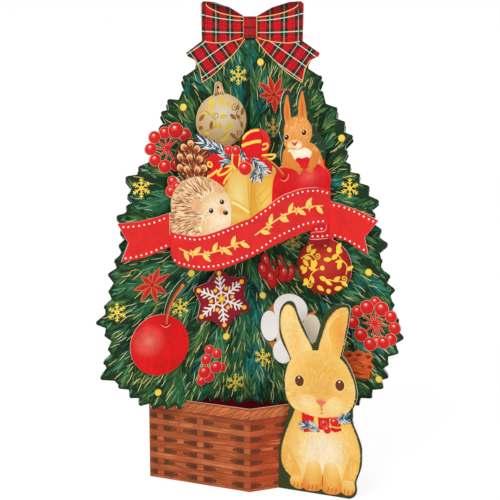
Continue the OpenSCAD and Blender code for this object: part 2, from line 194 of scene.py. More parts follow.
def smooth(points, closed=False, steps=5):
    """Points along a round curve through the given ones."""
    count = len(points)
    curve = []
    for i in range(count if closed else count - 1):
        if closed:
            a, b, c, d = (Vector(points[(i + k) % count]) for k in (-1, 0, 1, 2))
        else:
            a, b, c, d = (Vector(points[min(max(i + k, 0), count - 1)]) for k in (-1, 0, 1, 2))
        for k in range(steps):
            t = k / steps
            curve.append(((2 * b) + (c - a) * t + (2 * a - 5 * b + 4 * c - d) * t * t
                          + (3 * b - a - 3 * c + d) * t ** 3) / 2)
    return curve if closed else curve + [Vector(points[-1])]


def around(at, reach, angle):
    return at[0] + reach * math.cos(math.radians(angle)), at[1] + reach * math.sin(math.radians(angle))


def bearing(start, end):
    return math.degrees(math.atan2(end[1] - start[1], end[0] - start[0]))


class Print:
    """Ink on one panel, in millimetres, each shape a little above the one before it."""

    def __init__(self, name, frame_of_panel, slot, step=INK_STEP):
        self.name = name
        self.panel = frame_of_panel
        self.slot = slot
        self.mesh = bmesh.new()
        self.inks = []
        self.step = step
        self.lift = FIRST_LIFT
        self.top = FIRST_LIFT

    def place(self, at=(0, 0), turn=0, size=(1, 1)):
        return (self.panel @ Matrix.Translation((at[0], at[1], self.lift))
                @ Matrix.Rotation(math.radians(turn), 4, "Z") @ Matrix.Diagonal((size[0], size[1], 1, 1)))

    def lay(self, ink, faces):
        if ink not in self.inks:
            self.inks.append(ink)
        for face in faces:
            face.material_index = self.inks.index(ink)
        self.top = max(self.top, self.lift)
        self.lift += self.step

    def oval(self, ink, at, half, turn=0, sides=24):
        half = half if isinstance(half, tuple) else (half, half)
        rim = bmesh.ops.create_circle(self.mesh, cap_ends=True, segments=sides, radius=1,
                                      matrix=self.place(at, turn, half))["verts"]
        self.lay(ink, rim[0].link_faces)

    def field(self, ink, outline, at=(0, 0), turn=0, size=(1, 1)):
        place = self.place(at, turn, size)
        face = self.mesh.faces.new([self.mesh.verts.new(place @ Vector((p[0], p[1], 0))) for p in outline])
        self.lay(ink, [face])

    def stroke(self, ink, path, width, ends=(0.3, 0.3)):
        """A strip bent along a path, widest in its middle; ends are the shares left at its ends."""
        place = self.place()
        last = len(path) - 1
        strip = bmesh.ops.create_grid(self.mesh, x_segments=last, y_segments=1, size=0.5)["verts"]
        for vert in strip:
            t = vert.co.x + 0.5
            i = round(t * last)
            here, before, after = (Vector(path[min(max(i + k, 0), last)][:2]) for k in (0, -1, 1))
            way = (after - before).normalized()
            end = ends[0] if t < 0.5 else ends[1]
            half = width * (end + (1 - end) * math.sin(math.pi * t)) * vert.co.y
            vert.co = place @ Vector((here.x - way.y * half, here.y + way.x * half, 0))
        self.lay(ink, {face for vert in strip for face in vert.link_faces})

    def finish(self, keep=0):
        """Close the ink into thin solids. keep is the half of the card where it ends at the fold."""
        if keep:
            everything = [*self.mesh.verts, *self.mesh.edges, *self.mesh.faces]
            bmesh.ops.bisect_plane(self.mesh, geom=everything, plane_co=self.panel.col[3].to_3d(),
                                   plane_no=-keep * self.panel.col[0].to_3d(), clear_outer=True)
        out = self.panel.col[2].to_3d()
        self.mesh.normal_update()
        turned = [face for face in self.mesh.faces if face.normal.dot(out) < 0]
        bmesh.ops.reverse_faces(self.mesh, faces=turned)
        data = bpy.data.meshes.new(self.name)
        self.mesh.to_mesh(data)
        self.mesh.free()
        for ink in self.inks:
            data.materials.append(ink)
        piece = bpy.data.objects.new(self.name, data)
        bpy.context.scene.collection.objects.link(piece)
        depth = piece.modifiers.new("ink depth", "SOLIDIFY")
        depth.thickness = (self.top + INK_ROOT) * MM
        depth.offset = -1
        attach(piece, "root")
        return piece


def outline_test(node_name, frame_of_panel):
    """A test of whether a place on the panel lies on its die-cut sheet."""
    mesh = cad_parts[node_name].data
    sheet = BVHTree.FromPolygons([v.co for v in mesh.vertices], [list(f.vertices) for f in mesh.polygons])
    inward = -frame_of_panel.col[2].to_3d().normalized()

    def on_sheet(x, y):
        start = frame_of_panel @ Vector((x, y, 0.5))
        return y < CROWN_Z and sheet.ray_cast(start, inward, MM)[0] is not None
    return on_sheet


def tree_print(tree):
    above = calc(tree, "GREATER_THAN", object_axes(tree)["Z"], BOW_FOOT)
    return blend(tree, above, tone(27, 50, 29), tone(176, 26, 34))


dress("front_tree", printed("front tree", tree_print, sheet=True))

LINE_GOLD = printed("fine gold line", tone(234, 214, 134))
LINE_PALE = printed("fine pale line", tone(206, 220, 188))
SPRIG_INKS = [
    [printed("needle " + name, colour) for name, colour in family] for family in (
        (("bottle", tone(22, 48, 26)), ("fir", tone(48, 90, 46)), ("moss", tone(98, 130, 74))),
        (("pine", tone(24, 56, 34)), ("spruce", tone(38, 98, 64)), ("sage", tone(88, 140, 100))),
        (("shade", tone(18, 44, 32)), ("teal", tone(20, 98, 88)), ("jade", tone(56, 138, 122))),
    )]
draw = random.Random(24)


def needle_angle(x, y):
    return math.degrees(math.atan2(NEEDLE_LIFT * (y - HEART_Z), x))


def clear(on_sheet, root, reach, turn):
    """Whether a needle stays on the sheet along all of its length."""
    return all(on_sheet(*around(root, reach * k / 5, turn)) for k in range(6))


def sprig_bases(side, on_sheet):
    bases = []
    for row in range(SPRIG_ROWS):
        for column in range(SPRIG_COLUMNS):
            x = side * SPRIG_PITCH * (column + draw.uniform(0.0, 0.9))
            y = NEEDLE_FOOT + SPRIG_PITCH * (row + draw.uniform(-0.4, 0.4))
            if on_sheet(x, y):
                bases.append((x, y))
    return sorted(bases, key=lambda p: -math.hypot(p[0], NEEDLE_LIFT * (p[1] - HEART_Z)))


def sprig(art, base, stalk, family, on_sheet):
    """Needles in pairs along a stalk; a needle that would pass the cut edge is drawn shorter."""
    length = draw.uniform(*SPRIG_LENGTH)
    for i in range(SPRIG_NEEDLES):
        along = i / SPRIG_NEEDLES
        root = around(base, along * length, stalk)
        fan = (1 if i % 2 else -1) * (34 - 22 * along) * draw.uniform(0.5, 1.2)
        reach = draw.uniform(*NEEDLE_REACH) * (1.1 - 0.35 * along)
        shade = min(2, int(3 * (0.4 * along + 0.66 * draw.random())))
        width = NEEDLE_WIDTHS[shade] * draw.uniform(0.8, 1.2)
        for share in NEEDLE_SHARES:
            if clear(on_sheet, root, reach * share + 0.5, stalk + fan):
                art.field(family[shade], NEEDLE, root, stalk + fan, (reach * share, width))
                break


def undergrowth(art, on_sheet, side):
    """Loose needles all over the panel, below the sprigs."""
    for i in range(LOOSE_NEEDLES):
        x = side * draw.uniform(0.5, TREE_REACH)
        y = draw.uniform(NEEDLE_FOOT, CROWN_Z)
        turn = needle_angle(x, y) + draw.uniform(-26, 26)
        for reach in LOOSE_REACHES:
            if clear(on_sheet, (x, y), reach + 0.4, turn):
                ink = SPRIG_INKS[i % 2][LOOSE_SHADES[i % 4]]
                art.field(ink, NEEDLE, (x, y), turn, (reach, LOOSE_WIDTH))
                break


def fine_lines(art, on_sheet, side):
    """Fine light lines that follow the needles."""
    for i in range(FINE_LINES):
        x = side * draw.uniform(2, 64)
        y = draw.uniform(33, 174)
        turn = needle_angle(x, y) + draw.uniform(-20, 20)
        reach = draw.uniform(2.6, 5.2)
        if clear(on_sheet, (x, y), reach + 0.6, turn):
            middle = around(around((x, y), reach / 2, turn), draw.uniform(-0.3, 0.3), turn + 90)
            path = smooth([(x, y), middle, around((x, y), reach, turn)], steps=3)
            art.lift = FIRST_LIFT + SPRIG_STEP * SPRIG_RANKS + INK_STEP * (i % 12)
            art.stroke(LINE_GOLD if i % 6 else LINE_PALE, path, FINE_WIDTH)


tree_panels = {side: panel("front_tree", side, -side) for side in (-1, 1)}
tree_outlines = {side: outline_test("front_tree", tree_panels[side]) for side in (-1, 1)}
for side, word in SIDES:
    needles = Print("needles_" + word, tree_panels[side], "front_tree", NEEDLE_STEP)
    on_sheet = tree_outlines[side]
    growths = [(base, needle_angle(*base) + draw.uniform(-16, 16), (6, 4, 2))
               for base in sprig_bases(side, on_sheet)]
    for z in FOLD_GROWTH:
        up = 90 if z > FOLD_TURN else -90
        growths.append(((side * draw.uniform(0.6, 4.5), z), up + draw.uniform(-16, 8) * side, (2, 3, 5)))
    undergrowth(needles, on_sheet, side)
    for rank, (base, stalk, weights) in enumerate(growths):
        needles.lift = FIRST_LIFT + SPRIG_STEP * min(rank, SPRIG_RANKS)
        sprig(needles, base, stalk, draw.choices(SPRIG_INKS, weights)[0], on_sheet)
    fine_lines(needles, on_sheet, side)
    needles.finish(side)

# Printed ornaments: foil snowflakes and dots, star anise, berries, rose hips, a cotton boll and cinnamon
# bark, printed over the needles of the front tree in the same run.
FOIL = printed("gold foil", tone(244, 216, 84), mottle=0.5, roughness=0.42, metallic=0.25)
# A darker gold for two snowflakes on the right half: painted shade on the foil.
FOIL_PAINTED_SHADE = printed("gold foil in shade", tone(184, 150, 76), mottle=0.5, roughness=0.42, metallic=0.25)
FOIL_DEEP = printed("deep gold foil", tone(220, 168, 50), mottle=0.4, roughness=0.42, metallic=0.25)
BERRY_RED = printed("berry red", tone(220, 34, 36))
BERRY_DEEP = printed("berry shade", tone(182, 20, 30))
BERRY_RIM = printed("berry rim", tone(246, 160, 132))
BERRY_SHINE = printed("berry shine", tone(255, 236, 228))
BERRY_BLUSH = printed("berry blush", tone(236, 84, 72))
SPICE_RED = printed("spice red", tone(204, 50, 38))
SPICE_DEEP = printed("spice shade", tone(146, 28, 26))
SPICE_EDGE = printed("spice edge", tone(232, 130, 82))
COTTON = printed("cotton", tone(255, 253, 248), mottle=0.1)
# Two darker cotton inks are painted shade: one for the middle between the lobes, one for the right lobe.
COTTON_SHADE = printed("cotton shade", tone(244, 232, 212), mottle=0.1)
COTTON_LOBE_SHADE = printed("cotton lobe shade", tone(250, 238, 214), mottle=0.2)
HUSK = printed("husk", tone(214, 118, 60))
BARK = printed("bark", tone(226, 90, 32))
BARK_DEEP = printed("bark shade", tone(150, 48, 26))
FLAKE_REACH = 3.8
FLAKE_WIDTH = 0.4
FLAKE_FORKS = ((0.44, 0.3), (0.72, 0.26))
FOIL_DOT_REACH = 1.4
PETAL = [(0, 0), (0.2, 0.32), (0.5, 0.5), (0.8, 0.26), (1, 0), (0.8, -0.26), (0.5, -0.5), (0.2, -0.32)]
LEFT_RING = ((-1.2, 6.9, 2.4), (7.2, 4.6, 2.6), (3.4, 6.6, 3.1), (-5.36, 4.5, 2.4), (-7, 0, 2.4),
             (-5.36, -4.5, 2.4), (-1.2, -6.9, 2.6), (3.4, -6.4, 2.6))
RIGHT_RING = ((0, 8.4, 2.2), (-7.2, 4, 2.4), (-3.4, 6.1, 2.8), (2.6, 6, 2.9), (6.56, 3.4, 2.4),
              (-9, -0.4, 2.6), (8.2, -1.1, 2.4), (6.56, -5.6, 2.4), (1, -7.2, 2.3), (3.6, -7.2, 2.5),
              (-5.6, -5.1, 2.8), (-1.8, -8.4, 2.7))
ANISE_LEFT = ((98, 5), (140, 5.9), (190, 7.9), (232, 7.8), (284, 7.6), (326, 7.4), (26, 8.6), (64, 7.6))
ANISE_RIGHT = ((18, 7.3), (322, 4.8), (275, 7.3), (228, 4.8), (186, 6.4), (144, 7.9), (106, 7.6), (65, 7.7))
LOW_CLUSTER = ((-0.3, 5.7, 2), (2.9, 3.8, 2.1), (-3.9, -6.6, 2), (4.8, -2.2, 1.9), (-0.6, -5.4, 2.3),
               (-1.8, 1.9, 2.2), (2.4, -1.8, 2.5), (-2.6, -3.2, 2.6))
# On the right half, the snowflakes at (10, 141.6) and (18.4, 98) are inked in the darker gold, as painted
# shade.
FLAKES = {
    -1: (((-5.1, 161.7), FOIL), ((-45.3, 120.3), FOIL), ((-55.9, 72.8), FOIL), ((-30, 72.2), FOIL),
         ((-6.6, 38.9), FOIL)),
    1: (((10, 141.6), FOIL_PAINTED_SHADE), ((41.7, 120), FOIL), ((18.4, 98), FOIL_PAINTED_SHADE), ((5.7, 49.2), FOIL))}
FOIL_DOTS = {
    -1: ((-27.9, 150.3), (-25.2, 85.4), (-10.5, 58.4), (-39.6, 38.8)),
    1: ((4.6, 166.7), (38.2, 139), (49.9, 88), (5.7, 74.7), (54.8, 46))}
HIP_NEEDLES = ((7.5, -60), (9, -84), (10.4, -70), (12, -96), (13.6, -62), (15, -80), (16.4, -50), (11, -50))
ROSE_HIPS = ((13, 88.2, -14), (17, 84.6, -30), (7.4, 88.4, 12), (14.6, 84.4, -18), (10.8, 85.6, 4),
             (6.2, 84.8, 22), (9.4, 81.8, 16))


def bar(art, ink, start, end, width):
    art.field(ink, BAR, start, bearing(start, end), (math.dist(start, end), width))


def snowflake(art, ink, at, reach, width, turn, forks):
    """Six arms with pairs of forks; each fork is (place along the arm, length), as shares of the reach."""
    for arm in range(6):
        angle = turn + 60 * arm
        bar(art, ink, at, around(at, reach, angle), width)
        for place, length in forks:
            for way in (-1, 1):
                root = around(at, place * reach, angle)
                bar(art, ink, root, around(root, length * reach, angle + 48 * way), width * 0.85)


def foil_snowflake(art, at, ink):
    snowflake(art, ink, at, FLAKE_REACH, FLAKE_WIDTH, 30, FLAKE_FORKS)
    art.field(ink, [around(at, 0.9, 60 * k) for k in range(6)])
    art.field(FOIL_DEEP, [around(at, 0.42, 60 * k) for k in range(6)])


def foil_dot(art, at):
    art.oval(FOIL_DEEP, at, FOIL_DOT_REACH)
    art.oval(FOIL, (at[0] - 0.1, at[1] + 0.1), FOIL_DOT_REACH * 0.9)


def berry(art, at, reach):
    """A round berry: light rim, red ball with a darker side, soft blush and a shine."""
    art.oval(BERRY_RIM, at, reach)
    art.oval(BERRY_DEEP, at, reach * 0.94)
    art.oval(BERRY_RED, (at[0] - reach * 0.05, at[1] + reach * 0.06), reach * 0.87)
    art.oval(BERRY_BLUSH, (at[0] - reach * 0.18, at[1] + reach * 0.3), (reach * 0.42, reach * 0.34), 20)
    art.oval(BERRY_SHINE, (at[0] - reach * 0.16, at[1] + reach * 0.4), (reach * 0.17, reach * 0.14), 20, 10)


def berry_ring(art, at, berries, on_sheet):
    """Berries (x, y, reach) round a star of stalks, drawn in where the cut sheet leaves too little room."""
    for dx, dy, _ in berries:
        angle = bearing((0, 0), (dx, dy))
        stalk = [around(at, 0.4, angle), around(at, 2.6, angle + 4), around(at, 5, angle)]
        art.stroke(BERRY_RIM, stalk, 0.85, (1, 0.6))
        art.stroke(BERRY_RED, stalk, 0.6, (1, 0.6))
    art.oval(BERRY_RED, at, 1.1, sides=12)
    for dx, dy, reach in berries:
        place = (at[0] + dx, at[1] + dy)
        while not all(on_sheet(*around(place, reach - 0.1, 30 * k)) for k in range(12)):
            place = (place[0] + 0.03 * (at[0] - place[0]), place[1] + 0.03 * (at[1] - place[1]))
        berry(art, place, reach)


def star_anise(art, at, arms):
    """Pointed pods round a middle, each with a light edge and a dark seam. An arm is (angle, length)."""
    for angle, length in arms:
        art.field(SPICE_EDGE, PETAL, at, angle, (length, 2.6))
        art.field(SPICE_RED, PETAL, around(at, 0.2, angle), angle, (length - 0.5, 2.2))
        seam = [around(at, 0.8, angle), around(at, length * 0.5, angle + 3), around(at, length * 0.84, angle)]
        art.stroke(SPICE_DEEP, seam, 0.4)
    art.oval(SPICE_DEEP, at, 0.7, sides=12)


def rose_hip(art, at, turn):
    art.oval(BERRY_DEEP, at, (2.3, 3.7), turn)
    art.oval(BERRY_RED, (at[0] - 0.2, at[1] + 0.2), (1.9, 3.2), turn)
    art.oval(BERRY_BLUSH, around(at, 1, turn + 90), (0.9, 1.5), turn)
    shine = around(at, 1.4, turn + 90)
    art.oval(BERRY_SHINE, (shine[0] - 0.4, shine[1]), (0.3, 0.55), turn, 10)


def cotton_boll(art):
    """White lobes that burst from orange-brown husks. The right lobe is printed beige and the middle between
    the lobes darker, both painted shade.
    """
    art.field(HUSK, [(8.3, 69.4), (10.6, 72), (14, 66), (11.4, 62)])
    art.field(HUSK, [(8.2, 55.8), (13.4, 57), (11, 52)])
    art.field(HUSK, [(23.6, 68.6), (28.8, 71), (26.2, 66.4)])
    art.oval(COTTON_SHADE, (15.8, 62.6), (5, 9.4))
    for ink, at, half in ((COTTON_LOBE_SHADE, (26.6, 63.3), (3.8, 5.8)), (COTTON, (14.4, 52.6), (4.2, 4.8)),
                          (COTTON, (8.7, 62.6), (3.8, 6.2)), (COTTON, (17.6, 70.2), (7.2, 6.3))):
        art.oval(ink, at, half, 0, 32)


def cinnamon(art, at):
    """A short bundle of curled bark: rough streaked body, and open rolled ends on top."""
    body = [(-4.8, -5), (5, -4.6), (5.6, 2.2), (4.6, 4.4), (-5, 3.6)]
    art.field(BARK_DEEP, [(at[0] + 1.06 * x, at[1] + 1.06 * y) for x, y in body])
    art.field(BARK, [(at[0] + x, at[1] + y) for x, y in body])
    for k in range(26):
        x = at[0] + draw.uniform(-4.6, 1.4)
        y = at[1] + draw.uniform(-4.4, 3)
        streak = [(x, y), (x + 1.6, y - 0.3), (x + 3.4, y + 0.1)]
        art.stroke((BARK_DEEP, SPICE_EDGE, HUSK)[k % 3], streak, 0.45)
    for dx, dy, wide in ((-3.8, 4, 2.1), (0.2, 4.6, 2.3), (4.2, 4.2, 1.9), (4.8, 0.2, 1.7)):
        roll = (at[0] + dx, at[1] + dy)
        art.oval(SPICE_EDGE, roll, (wide, 1.6), 10)
        art.oval(BARK, roll, (wide - 0.2, 1.42), 10)
        art.oval(BARK_DEEP, (roll[0] + 0.2, roll[1] - 0.1), (wide * 0.5, 0.6), 10, 14)


left_art = Print("tree_ornaments_left", tree_panels[-1], "front_tree")
right_art = Print("tree_ornaments_right", tree_panels[1], "front_tree")
for side, art in ((-1, left_art), (1, right_art)):
    art.lift = ORNAMENT_LIFT
    for place, ink in FLAKES[side]:
        foil_snowflake(art, place, ink)
    for place in FOIL_DOTS[side]:
        foil_dot(art, place)
star_anise(left_art, (-41.5, 82.3), ANISE_LEFT)
star_anise(right_art, (10.2, 154.4), ANISE_RIGHT)
berry_ring(left_art, (-34.5, 135), LEFT_RING, tree_outlines[-1])
berry_ring(right_art, (52.8, 68.1), RIGHT_RING, tree_outlines[1])
for dx, dy, reach in LOW_CLUSTER:
    berry(left_art, (-17.4 + dx, 48 + dy), reach)
for x, y, turn in ROSE_HIPS:
    rose_hip(right_art, (x, y), turn)
for x, turn in HIP_NEEDLES:
    right_art.field(SPRIG_INKS[0][round(x) % 2], NEEDLE, (x, 92.4), turn, (7.5 + x % 2, 1))
cotton_boll(right_art)
cinnamon(right_art, (46, 50.4))
left_art.finish()
right_art.finish()

# Bow: part of the front sheet, printed as a tartan ribbon with gold edges. Its knot is cut free above
# and below and folds forward, and carries the same red with dark checks.
BAND_PITCH = 5.35
TAIL_PITCH = (5.4, 5.2)
FIRST_BAND = 7.6
LOOP_FOOT_Z = 0.1757
LOOP_PITCH = 0.0045
LOOP_FAN = 5.1
BOW_WIDTHS = {-1: 26.6, 1: 29}
GOLD_EDGE = 0.32
INSIDE_SHADE = 0.4
TAIL_MIDDLE = (16, 166)
TAIL_TURN = 34
BOW_EDGE = printed("bow edge", tone(246, 202, 122))
BOW_DARK = printed("bow dark", tone(128, 14, 30))
BOW_KNOT = printed("bow knot", tone(194, 30, 31), mottle=0.6)
KNOT_GREEN = printed("knot green", tone(36, 60, 46))
KNOT_CHECKS = ((183.4, 0.55), (180, 0.7), (176.7, 0.5))
LOOP_CURVE = [(3.3, 183.8), (7.5, 184.3), (12.3, 185.2), (16.6, 186.6), (19.5, 188.1), (20.2, 189.6)]
LOOP_FOOT = [(20.8, 175), (16.3, 174.3), (11.1, 174.5), (6.7, 175.1), (3.3, 176)]
LOOP_TOP = [(3.3, 184), (9.3, 187.3), (16.5, 189.5), (20.2, 189.75)]
TAIL_EDGE = [(2.6, 175.6), (6.2, 171.3), (10.8, 167.2), (15.9, 162.9), (21.8, 159.5)]
TAIL_END = [(23, 164.7), (25.2, 168.2), (28.3, 169.7), (28.7, 170.8)]


def tartan():
    """Node group: woven bands from two coordinates counted in repeats, dark where the bands cross."""
    group = bpy.data.node_groups.new("tartan", "ShaderNodeTree")
    group.interface.new_socket("Across", in_out="INPUT", socket_type="NodeSocketFloat")
    group.interface.new_socket("Up", in_out="INPUT", socket_type="NodeSocketFloat")
    group.interface.new_socket("Colour", in_out="OUTPUT", socket_type="NodeSocketColor")
    start = node(group, "NodeGroupInput").outputs

    def stripe(where, middle, half):
        offset = calc(group, "SUBTRACT", calc(group, "FRACT", start[where]), middle)
        return calc(group, "LESS_THAN", calc(group, "ABSOLUTE", offset), half)

    warp = stripe("Across", 0.5, 0.26)
    weft = stripe("Up", 0.5, 0.29)
    colour = blend(group, warp, tone(214, 24, 28), tone(134, 18, 34))
    colour = blend(group, weft, colour, blend(group, warp, tone(186, 22, 32), tone(22, 46, 32)))
    fine = calc(group, "MAXIMUM", stripe("Across", 0.08, 0.02), stripe("Up", 0.02, 0.03))
    colour = blend(group, fine, colour, tone(158, 16, 32))
    colour = blend(group, stripe("Across", 0.5, 0.02), colour, tone(192, 208, 164))
    colour = blend(group, stripe("Up", 0.5, 0.027), colour, tone(222, 236, 216))
    node(group, "NodeGroupOutput", {"Colour": colour})
    return group


TARTAN = tartan()


def tartan_ink(name, repeats, shade=1.0):
    """Tartan print; repeats builds the two coordinates, counted in repeats of the weave."""
    def build(tree):
        across, up = repeats(tree)
        woven = node(tree, "Group", {"Across": across, "Up": up}, node_tree=TARTAN).outputs[0]
        return node(tree, "HueSaturation", {"Color": woven, "Value": shade}).outputs[0]
    return printed(name, build)


def loop_repeats(tree):
    """Bands along a loop, which fan out from the knot as the loop widens."""
    axes = object_axes(tree)
    across = calc(tree, "SUBTRACT", calc(tree, "ABSOLUTE", axes["X"]), (FIRST_BAND - BAND_PITCH / 2) * MM)
    widening = calc(tree, "MULTIPLY", calc(tree, "MULTIPLY", axes["X"], axes["X"]), LOOP_FAN)
    tall = calc(tree, "ADD", widening, LOOP_PITCH)
    up = calc(tree, "DIVIDE", calc(tree, "SUBTRACT", axes["Z"], LOOP_FOOT_Z), tall)
    return calc(tree, "DIVIDE", across, BAND_PITCH * MM), up


def tail_repeats(side):
    """Bands that run along and across one of the slanted tails."""
    def repeats(tree):
        place = node(tree, "TexCoord").outputs["Object"]
        turned = node(tree, "Mapping", {
            "Vector": place, "Location": (TAIL_MIDDLE[0] * side * MM, 0, TAIL_MIDDLE[1] * MM),
            "Rotation": (0, math.radians(TAIL_TURN * side), 0),
            "Scale": (TAIL_PITCH[0] * MM, 1, TAIL_PITCH[1] * MM)}, vector_type="TEXTURE").outputs[0]
        axes = node(tree, "SeparateXYZ", {0: turned}).outputs
        return axes["X"], axes["Z"]
    return repeats


LOOP_INK = tartan_ink("tartan loop", loop_repeats)
LOOP_INSIDE = tartan_ink("tartan inside", loop_repeats, INSIDE_SHADE)
for side, word in SIDES:
    bow = Print("bow_" + word, tree_panels[side], "front_tree")
    bow.lift = ORNAMENT_LIFT
    stretch = side * BOW_WIDTHS[side] / BOW_WIDTHS[1]
    curve, foot, ridge, edge, end = ([(x * stretch, y) for x, y in points] for points in (
        LOOP_CURVE, LOOP_FOOT, LOOP_TOP, TAIL_EDGE, TAIL_END))
    bow.field(tartan_ink("tartan tail " + word, tail_repeats(side)), smooth(edge) + end + smooth(foot))
    bow.stroke(BOW_EDGE, smooth(edge), GOLD_EDGE, (1, 1))
    bow.stroke(BOW_EDGE, [edge[-1]] + end[:2], 0.3, (1, 1))
    bow.field(LOOP_INSIDE, smooth(ridge) + smooth(curve)[::-1])
    rim = [(21.2 * stretch, 189.8), (22.1 * stretch, 189), (21.8 * stretch, 175.3)]
    bow.field(LOOP_INK, smooth(curve) + rim + smooth(foot))
    bow.stroke(BOW_EDGE, smooth(curve), GOLD_EDGE, (1, 1))
    bow.stroke(BOW_EDGE, smooth(foot), GOLD_EDGE, (1, 1))
    seam = [(20.2 * stretch, 189.6), (20.5 * stretch, 182), (20.8 * stretch, 175.2)]
    bow.stroke(BOW_DARK, seam, 0.4, (1, 1))
    bow.finish()
    knot = Print("bow_knot_" + word, panel("front_tree", side, side), "front_tree")
    knot.field(BOW_KNOT, [(0.1 * side, 176.1), (3 * side, 176.1), (3 * side, 184), (0.1 * side, 184)])
    knot.stroke(BOW_DARK, [(1.9 * side, 176.2), (1.6 * side, 180), (1.9 * side, 183.9)], 0.3)
    for z, half in KNOT_CHECKS:
        knot.stroke(BOW_DARK, [(0.1 * side, z), (1.5 * side, z), (2.7 * side, z)], 0.8 * half, (1, 1))
        knot.stroke(KNOT_GREEN, [(0.1 * side, z), (0.4 * side, z), (0.8 * side, z)], 2 * half, (1, 0.8))
    knot.stroke(BOW_EDGE, [(2.85 * side, 176.1), (2.85 * side, 180), (2.85 * side, 184)], 0.34, (1, 1))
    knot.finish()

# Straps and pads: plain white strips that hold the two tree sheets apart, and round foam pads that lift
# the glued-on pieces off the print.
strap_card = printed("plain strap card", CARD_WHITE, mottle=0.12)
dress("upper_strap", strap_card)
dress("lower_strap", strap_card)
dress("foam_pads", printed("foam", tone(238, 238, 232), mottle=0.5, roughness=0.9))

# Raised pieces: a gold bauble, an iced cookie and a cherry, each a flat die-cut of the same card on a pad.
# Their round shading is part of the print.
LEAF_YELLOW = printed("leaf yellow", tone(250, 216, 70))
LEAF_BROWN = printed("leaf brown", tone(164, 110, 50))
CAP_LIGHT = printed("cap light", tone(232, 206, 154))
EYELET = printed("eyelet", tone(46, 30, 22))
VINE_GOLD = printed("vine gold", tone(206, 160, 70))
ICING = printed("white icing", tone(248, 240, 236))
SUGAR_GOLD = printed("sugar gold", tone(240, 190, 62))
STEM_BROWN = printed("stem brown", tone(178, 66, 34))
STEM_LIGHT = printed("stem light", tone(232, 128, 66))
LEAF = [(0, 0), (0.18, 0.34), (0.5, 0.5), (0.85, 0.24), (1, 0), (0.85, -0.24), (0.5, -0.5), (0.18, -0.34)]


def radial(frame_of_panel, at, reach, stops):
    """Soft round shading: stops run from the rim, 0, to the middle, 1."""
    def build(tree):
        place = node(tree, "TexCoord").outputs["Object"]
        centre = frame_of_panel @ Vector((at[0], at[1], 0))
        wide, tall = reach if isinstance(reach, tuple) else (reach, reach)
        size = (wide * MM, wide * MM, tall * MM)
        local = node(tree, "Mapping", {"Vector": place, "Location": centre, "Scale": size},
                     vector_type="TEXTURE").outputs[0]
        ball = node(tree, "TexGradient", {"Vector": local}, gradient_type="SPHERICAL").outputs[1]
        ramp = node(tree, "ValToRGB", {0: ball})
        while len(ramp.color_ramp.elements) < len(stops):
            ramp.color_ramp.elements.new(0.5)
        for element, (place_on_ramp, colour) in zip(ramp.color_ramp.elements, stops):
            element.position = place_on_ramp
            element.color = colour
        return ramp.outputs[0]
    return build


def spiral(at, reach, start, turns, way=1):
    """A tendril that winds inward."""
    steps = round(14 * turns)
    return [around(at, reach * (1 - 0.86 * i / steps), start + way * 360 * turns * i / steps)
            for i in range(steps + 1)]


def vine(art, stalk_ink, leaf_ink, path, width, leaf_size, curl=None, spacing=4):
    """A curved stalk with leaves on alternate sides, and a curled tendril at its end."""
    stalk = smooth(path, steps=6)
    art.stroke(stalk_ink, stalk, width, (0.8, 0.6))
    for i in range(3, len(stalk) - 1, spacing):
        turn = bearing(stalk[i - 1], stalk[i + 1]) + (46 if (i // spacing) % 2 else -46)
        art.field(leaf_ink, LEAF, stalk[i], turn, leaf_size)
    if curl:
        art.stroke(stalk_ink, spiral(*curl), width, (0.8, 0.6))


raised_panel = panel("gold_bauble", -1, 1)
dress("gold_bauble",
      printed("gold bauble",
              radial(raised_panel, (-11.4, 147), 14,
                     ((0.0, tone(202, 152, 94)), (0.3, tone(222, 185, 130)), (0.65, tone(236, 213, 171)),
                      (1.0, tone(245, 238, 224)))), mottle=0.2, sheet=True))
gold = Print("gold_bauble_print", raised_panel, "gold_bauble")
for path, curl in (
        ([(-20.8, 148.4), (-18.4, 148.6), (-16.2, 147), (-14.4, 145)], ((-14.4, 147), 1.5, 200, 1.3, 1)),
        ([(-20.4, 140), (-17.6, 141.4), (-15.6, 142), (-13.6, 143)], ((-18.2, 139), 1.2, 20, 1.2, -1)),
        ([(-14, 137.6), (-11.4, 138.6), (-9.4, 140.4), (-8.6, 142.6)], None)):
    vine(gold, VINE_GOLD, LEAF_YELLOW, path, 0.4, (2.6, 1.3), curl, 7)
for path, curl in (([(-5, 151.6), (-4.6, 149.4), (-5.8, 147), (-4.6, 144.8), (-3, 143.6)],
                    ((-6.4, 149.6), 1.5, 60, 1.4, 1)),
                   ([(-7, 136.4), (-5.4, 138.2), (-5.6, 140.6)], ((-4.3, 139.9), 1.2, 120, 1.3, 1))):
    vine(gold, LEAF_BROWN, LEAF_BROWN, path, 0.32, (2.6, 1.2), curl, 9)
for place, turn in (((-12.2, 150.4), 80), ((-17.6, 151.4), 30), ((-17.4, 149), 40), ((-13, 146.2), 8),
                    ((-9.6, 140.4), 76), ((-10.8, 151.6), -20), ((-11.6, 136.6), 50)):
    gold.field(LEAF_YELLOW, LEAF, place, turn, (3.7, 1.8))
for place, turn in (((-21.2, 145), 50), ((-16.4, 141.6), 84), ((-8.4, 147.2), -40), ((-3.6, 146.4), 76),
                    ((-8.4, 139.8), -40)):
    gold.field(LEAF_BROWN, LEAF, place, turn, (3.5, 1.6))
gold.oval(LEAF_BROWN, (-20.6, 142.4), 0.9, sides=14)
gold.oval(LEAF_YELLOW, (-13.1, 143), 0.95, sides=14)
gold.field(LEAF_BROWN, [(-15.2, 153.9), (-10.8, 154.5), (-11.6, 156), (-14.6, 155.6)])
